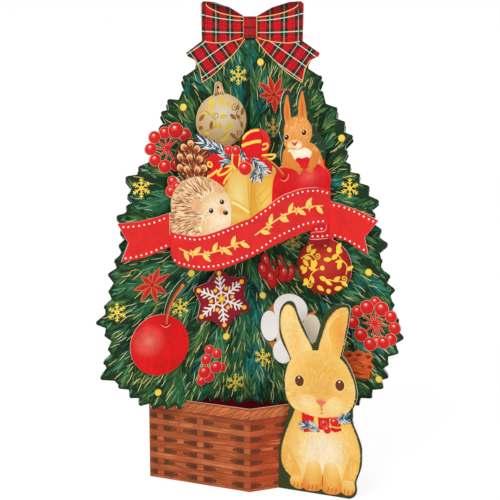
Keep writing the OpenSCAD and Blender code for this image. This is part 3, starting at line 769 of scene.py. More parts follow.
for dx in (-1.5, -0.5, 0.5, 1.5):
    flute = [(-13 + dx, 154), (-13.2 + dx * 0.7, 156.4), (-13.4 + dx * 0.5, 158.6)]
    gold.stroke(LEAF_BROWN if dx < 0 else CAP_LIGHT, flute, 0.4)
gold.oval(EYELET, (-13.3, 157.6), 0.5, sides=12)
gold.stroke(CAP_LIGHT, smooth([(-15.6, 153.6), (-13, 154.4), (-10.4, 154.4)]), 0.5, (1, 1))
gold.finish()

COOKIE_AT = (-12.2, 74.5)
COOKIE_TURN = 36
dress("star_cookie", printed("cookie", radial(raised_panel, COOKIE_AT, 15, (
    (0.0, tone(112, 16, 30)), (0.5, tone(146, 24, 38)), (1.0, tone(158, 30, 40)))), sheet=True))
cookie = Print("star_cookie_icing", raised_panel, "cookie")
snowflake(cookie, ICING, COOKIE_AT, 9.6, 0.72, COOKIE_TURN, ((0.4, 0.26), (0.6, 0.3), (0.8, 0.2)))
for k in range(6):
    angle = COOKIE_TURN + 60 * k
    bar(cookie, ICING, around(COOKIE_AT, 3, angle), around(COOKIE_AT, 3, angle + 60), 0.55)
    for reach, way, half in ((10.6, 0, 0.95), (4.5, 30, 0.85)):
        cookie.oval(SUGAR_GOLD, around(COOKIE_AT, reach, angle + way), half, sides=14)
        cookie.oval(LEAF_YELLOW, around(COOKIE_AT, reach + 0.05, angle + way), half * 0.6, sides=10)
    cookie.field(SUGAR_GOLD, PETAL, COOKIE_AT, angle, (2, 1.3))
cookie.oval(LEAF_YELLOW, COOKIE_AT, 0.9, sides=12)
cookie.finish()

CHERRY_TOP = 0.0712


def cherry_print(tree):
    skin = radial(raised_panel, (-43, 60.6), 12,
                  ((0.0, tone(218, 18, 22)), (0.4, tone(224, 26, 28)), (0.8, tone(232, 88, 74)),
                   (1.0, tone(238, 132, 112))))(tree)
    above = calc(tree, "GREATER_THAN", object_axes(tree)["Z"], CHERRY_TOP)
    return blend(tree, above, skin, tone(36, 60, 38))


dress("cherry", printed("cherry", cherry_print, mottle=0.8, sheet=True))
cherry = Print("cherry_stem", raised_panel, "cherry")
cherry.stroke(BERRY_DEEP, smooth([(-37.6, 67.2), (-35.7, 66.2), (-33.8, 67.1)]), 0.9)
cherry.stroke(BERRY_RIM, smooth([(-37.8, 66.8), (-35.7, 65.5), (-33.6, 66.7)]), 0.32)
stem = smooth([(-35.6, 66.8), (-35, 71), (-33.4, 75), (-31.4, 78.2), (-28.4, 81.6)])
cherry.stroke(STEM_BROWN, stem, 1.3, (0.7, 1.3))
cherry.stroke(STEM_LIGHT, [(x + 0.25, y - 0.15) for x, y in stem], 0.5, (0.7, 1.2))
cherry.oval(STEM_LIGHT, (-28.6, 81.4), (0.9, 0.7), 40, 12)
cherry.finish()

# Banner gifts: the upper part of the banner sheet, what looks out from behind the ribbon. A cone, a rosemary
# sprig, bows, bells, an apple and two small animals, all printed on one card and cut round together.
CONE_DARK = printed("cone shade", tone(74, 32, 24))
CONE_BROWN = printed("cone brown", tone(130, 60, 40))
CONE_STREAK = printed("cone streak", tone(206, 118, 62))
CONE_TIP = printed("cone tip", tone(236, 192, 134))
SPRIG_DARK = printed("sprig dark", tone(26, 40, 52))
SPRIG_SLATE = printed("sprig slate", tone(88, 122, 156))
SPRIG_PALE = printed("sprig pale", tone(228, 234, 226))
SPRIG_GREEN = printed("sprig green", tone(30, 66, 58))
BOW_RED = printed("gift bow red", tone(222, 24, 30))
BOW_YELLOW = printed("gift bow yellow", tone(252, 208, 84))
FUR_CREAM = printed("fur cream", tone(255, 240, 210))
FUR_BLUSH = printed("fur blush", tone(240, 180, 126))
QUILL_DARK = printed("quill dark", tone(168, 104, 66))
QUILL_TAN = printed("quill tan", tone(228, 182, 130))
QUILL_PALE = printed("quill pale", tone(252, 230, 190))
EYE_BROWN = printed("eye brown", tone(58, 32, 24))
NOSE_RED = printed("nose red", tone(204, 74, 58))
CREASE = printed("fur crease", tone(216, 126, 62))
CONE_STREAKS = 170
CONE_RISE = 98
CONE_FAN = 8
QUILLS = 2300
QUILL_REACHES = (2.6, 1.6, 0.8)
BACKING_NEEDLES = 420
SCALE = [(0, 0.3), (0.55, 0.5), (0.9, 0.32), (1, 0), (0.9, -0.32), (0.55, -0.5), (0, -0.3)]


def zones(base, boxes):
    """Ink by areas, each (middle, half size, colour) in millimetres of the card's width and height."""
    def build(tree):
        axes = object_axes(tree)
        colour = base
        for middle, half, ink in boxes:
            inside = [node(tree, "Math", {0: axes[axis], 1: middle[i] * MM, 2: half[i] * MM},
                           operation="COMPARE").outputs[0] for i, axis in enumerate("XZ")]
            colour = blend(tree, calc(tree, "MULTIPLY", *inside), colour, ink)
        return colour
    return build


def scatter(middle, half, spread=1):
    """A random place in an oval, evenly spread."""
    place = around((0, 0), spread * math.sqrt(draw.random()), draw.uniform(0, 360))
    return middle[0] + half[0] * place[0], middle[1] + half[1] * place[1]


def away_from(middle):
    return lambda x, y: bearing(middle, (x, y))


def pine_cone(art, at, half, turn, tips):
    """Scales with light tips, the lower ones over the upper ones."""
    art.oval(CONE_DARK, at, half, turn)
    for k in range(CONE_STREAKS):
        root = scatter(at, half, 0.86)
        angle = CONE_RISE - CONE_FAN * (root[0] - at[0]) + draw.uniform(-30, 30)
        ink = (CONE_BROWN, CONE_STREAK, CONE_BROWN, CONE_DARK)[k % 4]
        art.field(ink, NEEDLE, around(root, -1.5, angle), angle, (2.6, 0.7))
    for x, y in sorted(tips, key=lambda p: -p[1]):
        angle = CONE_RISE - CONE_FAN * (x - at[0])
        root = around((x, y), -4.6, angle)
        art.field(CONE_DARK, PETAL, root, angle, (6.4, 4.2))
        art.field(CONE_BROWN, PETAL, root, angle, (6, 3.5))
        for way, ink in ((-1, CONE_STREAK), (1, CONE_TIP)):
            line = around(root, 0.5 * way, angle + 90)
            bend = around(around(line, 2, angle), 0.5 * way, angle + 90)
            art.stroke(ink, [line, bend, around(line, 4.4, angle)], 0.36)
        tilt = angle + draw.uniform(-60, 60)
        art.field(CONE_DARK, SCALE, around((x, y - 0.4), -1.9, tilt), tilt, (3.6, 3.3))
        art.field(CONE_TIP, SCALE, around((x, y), -1.3, tilt), tilt, (2.6, 2.8))
        art.field(CONE_STREAK, SCALE, around((x, y - 0.4), -1.7, tilt), tilt, (2.4, 2.2))
        art.field(CONE_BROWN, SCALE, around((x, y - 0.6), -1.8, tilt), tilt, (1.7, 1.4))


def rosemary(art, path, reach):
    """A stalk with narrow leaves in pairs: dark under, slate or pale on top."""
    stalk = smooth(path, steps=4)
    art.stroke(SPRIG_DARK, stalk, 0.5)
    for before, here in zip(stalk, stalk[1:]):
        for turn in (-34, 30, -14, 16):
            angle = bearing(before, here) + turn + draw.uniform(-8, 8)
            length = reach * draw.uniform(0.75, 1.15)
            ink = draw.choices((SPRIG_SLATE, SPRIG_PALE, SPRIG_GREEN), (3, 6, 2))[0]
            art.field(SPRIG_DARK, NEEDLE, before, angle, (length, reach * 0.2))
            art.field(ink, NEEDLE, around(before, 0.2, angle), angle, (length * 0.92, reach * 0.15))


def fur(art, inks, count, middle, half, toward, reach, width, spread=24):
    """Short hairs scattered over an oval, each along the direction that toward gives for its place."""
    step = art.step
    art.step = NEEDLE_STEP
    for _ in range(count):
        root = scatter(middle, half)
        length = reach * draw.uniform(0.7, 1.3)
        angle = toward(*root) + draw.uniform(-spread, spread)
        art.field(draw.choice(inks), NEEDLE, root, angle, (length, width))
    art.step = step


def fringe(art, ink, path, reach, width, turn):
    """Short hairs along a curve, each turned from the way that the curve runs."""
    curve = smooth(path, steps=9)
    step = art.step
    art.step = NEEDLE_STEP
    for before, here in zip(curve, curve[1:]):
        angle = bearing(before, here) + turn + draw.uniform(-14, 14)
        art.field(ink, NEEDLE, before, angle, (reach * draw.uniform(0.6, 1.2), width))
    art.step = step


dress("banner", printed("banner", zones(tone(226, 42, 39), (
    ((-18.7, 114), (12.2, 12), tone(222, 184, 138)), ((-22.5, 134), (8.5, 8), tone(120, 62, 40)),
    ((-0.2, 120), (9.8, 11), tone(222, 172, 66)), ((-14.5, 139.5), (6.5, 3.5), tone(48, 70, 72)),
    ((19.8, 145.5), (10.3, 14.5), tone(40, 58, 40)), ((28, 87), (12, 11), tone(126, 16, 26)))),
    mottle=0.5, sheet=True))

banner_left = panel("banner", -1, -1)
gifts_left = Print("gifts_left", banner_left, "banner")
for place in ((-32.3, 122.6), (-33, 118.8), (-30.3, 120.6)):
    berry(gifts_left, place, 2.2)
pine_cone(gifts_left, (-23.6, 130.6), (7.4, 8.8), 12, (
    (-24.4, 137.6), (-27.4, 136), (-21.6, 135.8), (-28.9, 132.3), (-24.9, 132.3), (-20.6, 131.9),
    (-29, 128.2), (-26.1, 127.8), (-21.6, 127.9), (-18.8, 128.6)))

gifts_left.field(BOW_RED,
                 smooth([(-17.5, 132.6), (-13.4, 133.7), (-9.4, 132.4), (-8, 129), (-9.8, 125.6),
                         (-11.8, 124), (-14, 126.4), (-16.8, 129.4)], True, 3))
gifts_left.field(BOW_RED,
                 [(-17.4, 127.6), (-13, 127), (-9, 124.4), (-11.6, 121), (-15.4, 122.6), (-17.6, 124.8)])
for path, width in (([(-15.8, 130.8), (-17.1, 130.9), (-17.2, 129.6), (-16, 129.2), (-15.6, 130.2),
                      (-16.4, 131)], 0.7),
                    ([(-17.6, 125.2), (-15.4, 126.4), (-13.2, 128.2)], 0.9),
                    ([(-13.4, 126.4), (-12, 128.6), (-9.8, 129.8), (-7.4, 129.7), (-9, 127.9),
                      (-11.2, 126.6), (-13.2, 126.2)], 0.85),
                    ([(-10.9, 123), (-9.4, 125.6), (-7.4, 127.6)], 0.8)):
    gifts_left.stroke(BOW_YELLOW, smooth(path), width, (0.9, 0.9))
gifts_left.stroke(BERRY_DEEP, smooth([(-14.8, 133), (-14.4, 130.4), (-12.8, 128.2)]), 0.45)

BELL_LIGHT = printed("bell light", radial(banner_left, (-4.6, 119), (7, 13), (
    (0.0, tone(222, 162, 60)), (0.4, tone(231, 192, 96)), (1.0, tone(236, 212, 136)))), mottle=0.2)
BELL_LINE = printed("bell line", tone(230, 160, 58))
BELL_BAND = printed("bell band", tone(248, 224, 140))
BELL_SHADE = printed("bell shade", tone(236, 180, 76))
gifts_left.field(BELL_LIGHT,
                 smooth([(-5.8, 128.4), (-1.6, 128.4), (1.5, 126), (1.5, 104), (-6, 103), (-8.6, 108),
                         (-8.2, 115), (-9.4, 121.4), (-8.4, 126.2)], True))
for path, width in (([(-0.9, 127), (-0.6, 121), (0, 112)], 0.5),
                    ([(-8.8, 124.6), (-9, 120), (-7.8, 116)], 0.35),
                    ([(-7.4, 117.4), (-4.4, 116.2), (0, 113.8)], 0.4),
                    ([(-7.6, 115.4), (-4.6, 114.4), (-0.4, 112)], 0.4)):
    gifts_left.stroke(BELL_LINE, smooth(path), width)
gifts_left.field(BELL_SHADE,
                 [(-7.5, 115.4), (-4.5, 114.3), (-0.2, 111.9), (0.6, 109.4), (-3.6, 111.6),
                  (-7.6, 112.2)])
gifts_left.stroke(BELL_BAND, smooth([(-7.5, 116.4), (-4.5, 115.3), (-0.2, 112.9)]), 1.1, (0.8, 0.8))
TOP_BOW = [(-3.4, 137.4), (-2.8, 140.6), (0, 143.6), (3, 144), (5.6, 140.8), (7.2, 138.2), (6.8, 135.6),
           (5, 133.4), (1, 133.6), (-2.4, 134.2)]
gifts_left.field(BOW_RED, smooth(TOP_BOW, True, 4))
gifts_left.field(BOW_RED, [(-7.2, 135), (-4.2, 135), (0.5, 136), (0.5, 128), (-4.4, 128.4), (-7.2, 131)])
for path, width in (([(-2.9, 140.3), (-1.4, 142.2), (0.5, 143.3)], 0.9),
                    ([(-3.3, 137.6), (-1.4, 138.6), (0.6, 139)], 1.2),
                    ([(-7, 134.6), (-7.3, 131.4), (-5.9, 128.6)], 0.75),
                    ([(-4, 134.6), (-4.2, 132), (-4.4, 130)], 0.7)):
    gifts_left.stroke(BOW_YELLOW, smooth(path), width, (1, 1))
rosemary(gifts_left, [(-8.6, 133.2), (-11.8, 135.2), (-15.4, 136.9), (-19, 138.2)], 4.6)
rosemary(gifts_left, [(-7.4, 132.6), (-9, 131.8), (-10.4, 131)], 3)
rosemary(gifts_left, [(-3, 136), (-2.8, 134.8), (-2.4, 133.8)], 2.4)
for place, reach in (((-8.6, 135.8), 1.9), ((-5.6, 135.9), 1.9), ((-2, 129.4), 2.6)):
    berry(gifts_left, place, reach)

# The hedgehog: a round ball of fine quills with a cream face, drawn simply.
HOG_FACE = (-12.6, 112.6)
HOG_MIDDLE = (-20.2, 113.6)
HOG_HALF = (12.8, 11.7)
HOG_FUR = printed("hedgehog face", radial(banner_left, (-12, 111), (11, 12), (
    (0.0, tone(226, 178, 122)), (0.35, tone(238, 204, 154)), (1.0, tone(252, 236, 208)))), mottle=0.2)
HOG_BLUSH = printed("hedgehog blush", radial(banner_left, (-11.5, 113), 2.8, (
    (0.0, tone(248, 228, 196)), (0.5, tone(242, 200, 154)), (1.0, tone(234, 168, 112)))), mottle=0.2)
from_face = away_from(HOG_FACE)

gifts_left.oval(QUILL_TAN, HOG_MIDDLE, HOG_HALF, 0, 48)
gifts_left.step = NEEDLE_STEP
gifts_outline = outline_test("banner", banner_left)
for k in range(QUILLS):
    root = scatter(HOG_MIDDLE, HOG_HALF, 1.2)
    turn = from_face(*root) + draw.uniform(-12, 12)
    for reach in QUILL_REACHES:
        tip = around(root, reach, turn)
        inside = math.hypot(*((tip[i] - HOG_MIDDLE[i]) / HOG_HALF[i] for i in (0, 1))) < 1
        if inside or (tip[0] < -22 and 101 < tip[1] < 113 and gifts_outline(tip[0] - 0.3, tip[1])):
            gifts_left.field((QUILL_DARK, QUILL_PALE, QUILL_TAN)[k % 3], NEEDLE, root, turn, (reach, 0.3))
            break
gifts_left.step = INK_STEP
gifts_left.field(HOG_FUR,
                 smooth([(-8.2, 118.2), (-7.6, 113), (-7.9, 108), (-9.6, 103), (-20, 102.4),
                         (-19.6, 106.4), (-18.6, 109.6), (-20.8, 112.6), (-19.4, 116.2), (-16.2, 119),
                         (-12.6, 120.2), (-9.8, 120)], True))
fur(gifts_left, (FUR_CREAM, QUILL_PALE, QUILL_TAN), 130, (-13.8, 110.6), (4.4, 6.6), from_face, 1.4, 0.2)
fringe(gifts_left, QUILL_PALE,
       [(-19.8, 104), (-19.6, 106.4), (-18.6, 109.6), (-20.8, 112.6), (-19.4, 116.2), (-16.2, 119),
        (-12.6, 120.2)], 2, 0.3, 62)
for place, turn, half in (((-22.2, 114.2), 70, (2.7, 1.9)), ((-12.6, 121.2), 160, (2.3, 1.5))):
    gifts_left.oval(QUILL_TAN, place, half, turn)
    gifts_left.oval(FUR_BLUSH, (place[0] + 0.1, place[1] - 0.1), (half[0] * 0.86, half[1] * 0.84), turn)
    gifts_left.oval(QUILL_TAN, (place[0] + 0.3, place[1] - 0.3), (half[0] * 0.56, half[1] * 0.54), turn, 14)
gifts_left.oval(HOG_BLUSH, (-11.5, 113), 2.6)
for place in ((-15.9, 112.5), (-11.4, 116.2)):
    gifts_left.oval(EYE_BROWN, place, 0.95, sides=20)
    gifts_left.oval(BERRY_SHINE, (place[0] - 0.25, place[1] + 0.35), 0.24, sides=8)
gifts_left.oval(EYE_BROWN, (-9.9, 112.2), (1.05, 0.92))
gifts_left.oval(BERRY_SHINE, (-10.1, 112.6), 0.2, sides=8)

banner_right = panel("banner", 1, 1)
gifts_right = Print("gifts_right", banner_right, "banner")
BELL_DEEP = printed("bell deep", radial(banner_right, (6.4, 117), (6, 12), (
    (0.0, tone(226, 160, 48)), (0.5, tone(236, 186, 76)), (1.0, tone(244, 206, 104)))), mottle=0.2)
gifts_right.field(BOW_RED, smooth(TOP_BOW, True, 4))
gifts_right.field(BOW_RED, [(3, 135.4), (6.8, 134.8), (9, 131.6), (9.2, 126.8), (5.6, 126.6), (3, 129)])
for path, width in (([(-0.5, 143), (1.4, 143.5), (3.6, 143.6)], 0.9),
                    ([(-0.5, 138.9), (2, 139.4), (4.5, 139.4)], 1.2),
                    ([(4.6, 138), (6.8, 138.4), (7, 137), (5.4, 136.2), (4.8, 136.8)], 0.7),
                    ([(4.8, 134), (7.6, 134.2), (10.4, 133.9), (8.8, 132.6), (5.6, 132.8)], 0.8)):
    gifts_right.stroke(BOW_YELLOW, smooth(path), width, (1, 1))
gifts_right.stroke(BERRY_DEEP, smooth([(4.6, 142.4), (4.8, 138), (4.2, 134.4)]), 0.5)
gifts_right.field(BELL_DEEP, [(-0.5, 127.4), (4, 126.4), (8, 127), (12, 127.4), (12, 110), (-0.5, 104)])
for path, width in (([(1.2, 124), (1.8, 118), (3, 112.6)], 0.6),
                    ([(8.6, 124.4), (5.4, 120.6), (2.4, 118.2)], 0.4),
                    ([(8.8, 120.4), (6, 117.2), (3.4, 115)], 0.4),
                    ([(3, 126), (2, 121), (1.6, 117)], 0.4)):
    gifts_right.stroke(BELL_LINE, smooth(path), width)
rosemary(gifts_right, [(0.6, 133.4), (2.2, 131.8), (4.2, 130), (6, 128.6)], 3.6)
rosemary(gifts_right, [(3, 129.6), (2.2, 127.8), (1.2, 126)], 3)
rosemary(gifts_right, [(4.6, 128.6), (4.4, 127), (4, 125.6)], 2.6)
berry(gifts_right, (-2, 129.4), 2.6)

# The squirrel: orange, with tall ears and a cream chest, its hands on the rim of the apple.
SQUIRREL = printed("squirrel", radial(banner_right, (20, 141.4), (12, 16), (
    (0.0, tone(222, 124, 48)), (0.45, tone(230, 144, 61)), (1.0, tone(237, 164, 82)))), mottle=0.3)
EAR_ORANGE = printed("ear orange", tone(226, 112, 46))
FOX_LIGHT = printed("fox light", tone(252, 204, 138))
FOX_DEEP = printed("fox deep", tone(232, 140, 64))
behind = outline_test("banner", banner_right)
gifts_right.step = NEEDLE_STEP
for k in range(BACKING_NEEDLES):
    x = draw.uniform(10.6, 33)
    y = draw.uniform(130, 160)
    turn = needle_angle(x, y) + draw.uniform(-24, 24)
    if clear(behind, (x, y), 3.4, turn):
        gifts_right.field(SPRIG_INKS[k % 2][(k // 2) % 3], NEEDLE, (x, y), turn, (3.2, 0.6))
gifts_right.step = INK_STEP
for outline, inner in (
        ([(14.4, 145), (13.7, 150.3), (14.3, 154.8), (15.2, 156.2), (16, 152.6), (16.8, 147)],
         [(14.9, 146.4), (14.6, 150.2), (15, 153.6), (15.5, 150.4), (15.8, 147)]),
        ([(19.6, 147), (19.8, 152.5), (20.8, 157), (21.5, 157), (22.6, 152.3), (23.4, 146.4)],
         [(20.6, 147.4), (20.6, 152), (21.2, 155.4), (21.8, 152), (22.2, 147)])):
    gifts_right.field(SQUIRREL, smooth(outline, steps=4))
    gifts_right.field(EAR_ORANGE, smooth(inner, steps=4))
gifts_right.field(SQUIRREL,
                  smooth([(14.2, 136), (13.2, 131), (13.6, 125), (29.8, 125), (30.2, 130.4),
                          (28.6, 134.4), (25.6, 137.6), (20, 138)], True))
gifts_right.field(FUR_CREAM,
                  smooth([(15.8, 135.6), (16.4, 132.6), (20.6, 131.4), (24.6, 132), (25.2, 134.6),
                          (21.4, 136.4)], True))
fur(gifts_right, (FOX_LIGHT, FOX_DEEP), 130, (27, 131.6), (2.2, 5), lambda x, y: 255, 1.4, 0.22)
SQUIRREL_HEAD = [(14.2, 145.4), (13.8, 141.3), (14.2, 137.2), (17, 135.5), (20.8, 135.7), (23.9, 137.4),
                 (25.4, 140.7), (25.1, 144.1), (22.9, 147.1), (19.6, 148), (16.4, 147.4)]
gifts_right.field(SQUIRREL, smooth(SQUIRREL_HEAD, True))
fur(gifts_right, (FOX_LIGHT, FOX_DEEP), 170, (19.4, 142.4), (4.8, 4.6), away_from((18.4, 138)), 1.3, 0.2)
gifts_right.oval(FOX_LIGHT, (18.2, 137.4), (3.1, 1.9))
gifts_right.oval(QUILL_PALE, (19.2, 136.9), (1.9, 1.2))
for place in ((14.9, 140.4), (22.1, 141.8)):
    gifts_right.oval(FOX_LIGHT, place, (1.2, 1.25), sides=20)
    gifts_right.oval(EYE_BROWN, place, (0.98, 1.05), sides=20)
    gifts_right.oval(BERRY_SHINE, (place[0] - 0.25, place[1] + 0.4), 0.26, sides=8)
gifts_right.field(NOSE_RED, smooth([(16.7, 138.7), (18.2, 138.1), (19.7, 138.9), (18.3, 136.8)], True, 3))
gifts_right.stroke(CREASE, smooth([(16.4, 136.6), (17.8, 136), (19.4, 136.4)]), 0.3)
APPLE = printed("apple", radial(banner_right, (24, 125), (9, 6), (
    (0.0, tone(220, 20, 26)), (0.4, tone(224, 36, 42)), (1.0, tone(228, 84, 80)))), mottle=0.9)
gifts_right.field(APPLE,
                  smooth([(9, 116), (9.1, 121), (9.8, 125.4), (11.6, 128.2), (14.6, 129), (18.6, 127.6),
                          (21.4, 127.1), (24.2, 127.8), (27.8, 129.6), (31.2, 127.2), (33.2, 122.8),
                          (33.2, 114)]))
gifts_right.field(APPLE,
                  smooth([(16, 127), (18.2, 131.2), (19.6, 132.5), (21.4, 132.1), (23.6, 132.5),
                          (25, 131), (26, 127)], steps=3))
for arm, hand in (([(15, 134.4), (16.8, 131), (19.8, 128.4)], (20.3, 127.6)),
                  ([(27.4, 134.4), (26.4, 131), (25, 128.4)], (24.9, 127.8))):
    gifts_right.stroke(CREASE, smooth(arm), 3.5, (0.8, 0.7))
    gifts_right.stroke(SQUIRREL, smooth(arm), 3.1, (0.8, 0.7))
    way = bearing(arm[1], arm[2])
    for k in (-1, 0, 1):
        finger = around(hand, 0.75 * k, way + 90)
        gifts_right.oval(SQUIRREL, finger, (1.3, 0.45), way + 14 * k, 12)
        gifts_right.stroke(CREASE, [finger, around(finger, 0.6, way), around(finger, 1.2, way)], 0.2)
gifts_right.stroke(STEM_BROWN, smooth([(5, 133.6), (9.4, 130.6), (13.9, 126)]), 1.2, (0.5, 0.9))
gifts_right.stroke(STEM_LIGHT, smooth([(5.2, 133.8), (9.6, 130.9), (13.8, 126.5)]), 0.5, (0.5, 0.9))
gifts_right.stroke(BERRY_DEEP, smooth([(12.6, 125.6), (14, 124.7), (15.2, 126)]), 0.7)
gifts_right.stroke(BERRY_RIM, smooth([(12.4, 124.6), (13.9, 123.9), (15.4, 124.8), (15.8, 126.6)]), 0.35)

# Banner ribbon: the front of the same sheet, red with white dots along its edges. A gold garland runs
# along its middle. The tails fold back at its ends, and the red bauble hangs from the right one.
RIBBON_RED = printed("ribbon red", tone(222, 43, 42), mottle=0.55)
RIBBON_BACK = printed("ribbon turned", tone(208, 30, 34), mottle=0.42)
RIBBON_DOT = printed("ribbon dot", tone(255, 244, 232))
# A dark red for the strip between the red bauble's top and the turned ribbon: painted shade under the ribbon.
BAUBLE_SHADE = printed("bauble shade", tone(150, 22, 30))
RIBBON_LINE = printed("ribbon line", tone(248, 170, 156))
GARLAND_GOLD = printed("garland gold", tone(252, 214, 112))
GARLAND_DEEP = printed("garland shade", tone(228, 168, 70))
DOT_PITCH = 2.1
DOT_REACH = 0.38
STAR_REACH = 1.9
RIBBON_TOP = {-1: [(-33.3, 106), (-32.9, 103.4), (-31, 102.7), (-27, 102.4), (-22.6, 102.3),
                   (-18.2, 103.2), (-13.9, 104.7), (-9.6, 106.5), (-5.3, 108.5), (0, 110.6)],
              1: [(0, 110.6), (2.5, 112.2), (6, 114.2), (9.5, 116.4), (13.5, 118.6), (16.3, 119.4),
                  (21.4, 120.6), (28.3, 120.7), (33.3, 119)]}
RIBBON_FOOT = {-1: [(-33.2, 95.4), (-32.9, 93.8), (-31.6, 91.5), (-28.4, 90), (-25.6, 89.5),
                    (-19.7, 89.2), (-13.7, 90.1), (-10, 91.3), (-6.2, 92.9), (-3, 94.4), (0, 95.8)],
               1: [(0, 95.8), (5.3, 97.9), (10.3, 100.2), (17.5, 103.4), (23, 105.2), (26.2, 106),
                   (29, 106.3), (33.3, 106.2)]}
DOT_LINES = {-1: ([(-32.4, 101.5), (-27, 101.1), (-22.6, 100.9), (-18.2, 101.8), (-13.9, 103.3),
                   (-9.6, 105.1), (-5.3, 107.1), (0, 109.2)],
                  [(-32.2, 93), (-30.4, 91.5), (-25.6, 90.7), (-22, 90.4), (-16.9, 90.9), (-12.5, 91.9),
                   (-8.2, 93.3), (-3.9, 95.2), (0, 96.9)]),
             1: ([(0, 109.2), (2.5, 110.9), (6, 112.9), (9.5, 115.1), (13.5, 117.3), (16.3, 118.1),
                  (21.4, 119.3), (28.3, 119.3), (32.8, 118)],
                 [(0, 97), (5.3, 99.5), (8.9, 101.8), (12.1, 103.2), (16, 104.7), (19.7, 106),
                  (23.3, 107), (28.8, 107.5), (32, 107.3)],
                 [(25, 101.9), (27.7, 101.8), (30.3, 101.6), (32.6, 101.8)],
                 [(26.6, 104.5), (28.6, 104.6), (30.8, 104.5)])}
GARLAND = {-1: [(-29.6, 97), (-24.4, 95.4), (-18.6, 95.7), (-12, 97.8), (-6.6, 100), (-2, 102.2)],
           1: [(2, 104.2), (7, 107.2), (13, 110.4), (18.6, 112.4), (24, 113.5), (30.4, 113.4)]}


def dotted(art, path):
    """Dots at even steps along a curve."""
    walked = DOT_PITCH / 2
    curve = smooth(path, steps=24)
    for before, here in zip(curve, curve[1:]):
        walked += (here - before).length
        if walked >= DOT_PITCH:
            walked -= DOT_PITCH
            art.oval(RIBBON_DOT, here, DOT_REACH, 0, 12)


def garland_star(art, at):
    tips = [around(at, STAR_REACH * (1 if k % 2 else 0.42), 36 * k + 18) for k in range(10)]
    art.field(GARLAND_GOLD, tips)
    art.oval(GARLAND_DEEP, at, 0.5, sides=10)


for side, art in ((-1, gifts_left), (1, gifts_right)):
    if side > 0:
        # Painted shade: a dark red strip between the bauble's top and the turned end of the ribbon.
        art.field(BAUBLE_SHADE, [(24.6, 101), (33.4, 101), (33.4, 97.8), (25, 98.8)])
        art.field(RIBBON_BACK, [(25.9, 106.2), (33.3, 107), (33.3, 100.4), (29, 100.4), (24.7, 100.7)])
        for path in ([(25.1, 103.2), (27.7, 103.5), (30.3, 103.4), (31.7, 104.2), (32.1, 106.4)],
                     [(24.8, 100.8), (28, 100.6), (32.8, 100.6)]):
            art.stroke(RIBBON_LINE, smooth(path), 0.3)
        art.stroke(RIBBON_LINE, smooth([(33, 113), (32, 111.6), (32, 109)]), 0.35)
    art.field(RIBBON_RED, smooth(RIBBON_TOP[side]) + smooth(RIBBON_FOOT[side])[::-1])
    for path in DOT_LINES[side]:
        dotted(art, path)
    vine(art, GARLAND_GOLD, GARLAND_GOLD, GARLAND[side], 0.6, (4.4, 1.9))
    for at in GARLAND[side][1:-1]:
        garland_star(art, (at[0] + 0.6, at[1]))
    art.stroke(RIBBON_LINE, smooth(RIBBON_TOP[side][2:-1]), 0.28, (0.6, 0.6))
    art.finish(side)

TAIL_LEFT = panel("banner", -1, 1)
tail = Print("tail_left", TAIL_LEFT, "banner")
dotted(tail, [(-53.6, 106.4), (-48.9, 106.2), (-44.4, 106.5), (-39.5, 107.3), (-34, 109)])
dotted(tail, [(-52.8, 94.2), (-48.4, 94.4), (-43.5, 95.2), (-39, 96.5), (-34, 98.2)])
tail.finish()

TAIL_RIGHT = panel("banner", 1, -1)
tail = Print("tail_right", TAIL_RIGHT, "banner")
dotted(tail, [(34, 113.6), (37.7, 113.2), (42.2, 112), (46.7, 110.2), (52.2, 107.9)])
dotted(tail, [(34.6, 102.1), (37.5, 101.5), (41.4, 100.2), (45.6, 98.2), (48.4, 96.6)])

BAUBLE_MIDDLE = (31.6, 89.3)
tail.oval(printed("red bauble",
                  radial(TAIL_RIGHT, (31, 91), 13.4,
                         ((0.0, tone(132, 16, 26)), (0.35, tone(172, 30, 32)),
                          (1.0, tone(204, 60, 42))))),
          BAUBLE_MIDDLE, 11, sides=48)
for path, curl in (
        ([(21.7, 91.6), (24, 93.2), (26.2, 93.4), (28, 91.6)], ((28.6, 93.2), 1.2, 250, 1.4, 1)),
        ([(40.4, 86.9), (40.6, 90.4), (38.4, 92.6), (36.8, 94.6)], ((37.6, 95.8), 1.4, 230, 1.4, -1)),
        ([(29.2, 88.2), (26.8, 86.6), (25.6, 84.6), (25.2, 82.8)], ((25.2, 81.4), 1.3, 60, 1.4, -1)),
        ([(30.6, 83.6), (33.4, 84.2), (36.2, 83.8), (38.6, 84.2)], ((39.6, 85.2), 1.3, 270, 1.4, 1))):
    vine(tail, LEAF_YELLOW, LEAF_YELLOW, path, 0.42, (3.4, 1.7), curl, 7)
for place, turn in (((31.4, 97), 75), ((36.4, 96.2), 60), ((31, 92), 5), ((24.4, 94.2), 70),
                    ((22.6, 91.4), -50), ((26.4, 91), -80), ((37, 88.6), 70), ((29.4, 85), -20),
                    ((28.4, 81.4), -30), ((34.4, 92.4), 40), ((27.6, 88.6), 120), ((35.6, 80.6), 20),
                    ((22.4, 85.6), 60)):
    tail.field(LEAF_YELLOW, LEAF, place, turn, (3.5, 1.9))
for place in ((26, 98), (33.4, 96), (22.3, 88), (30.6, 88.6), (23.8, 83), (33.3, 79.7)):
    tail.oval(LEAF_YELLOW, place, 0.95, 0, 14)
tail.finish()

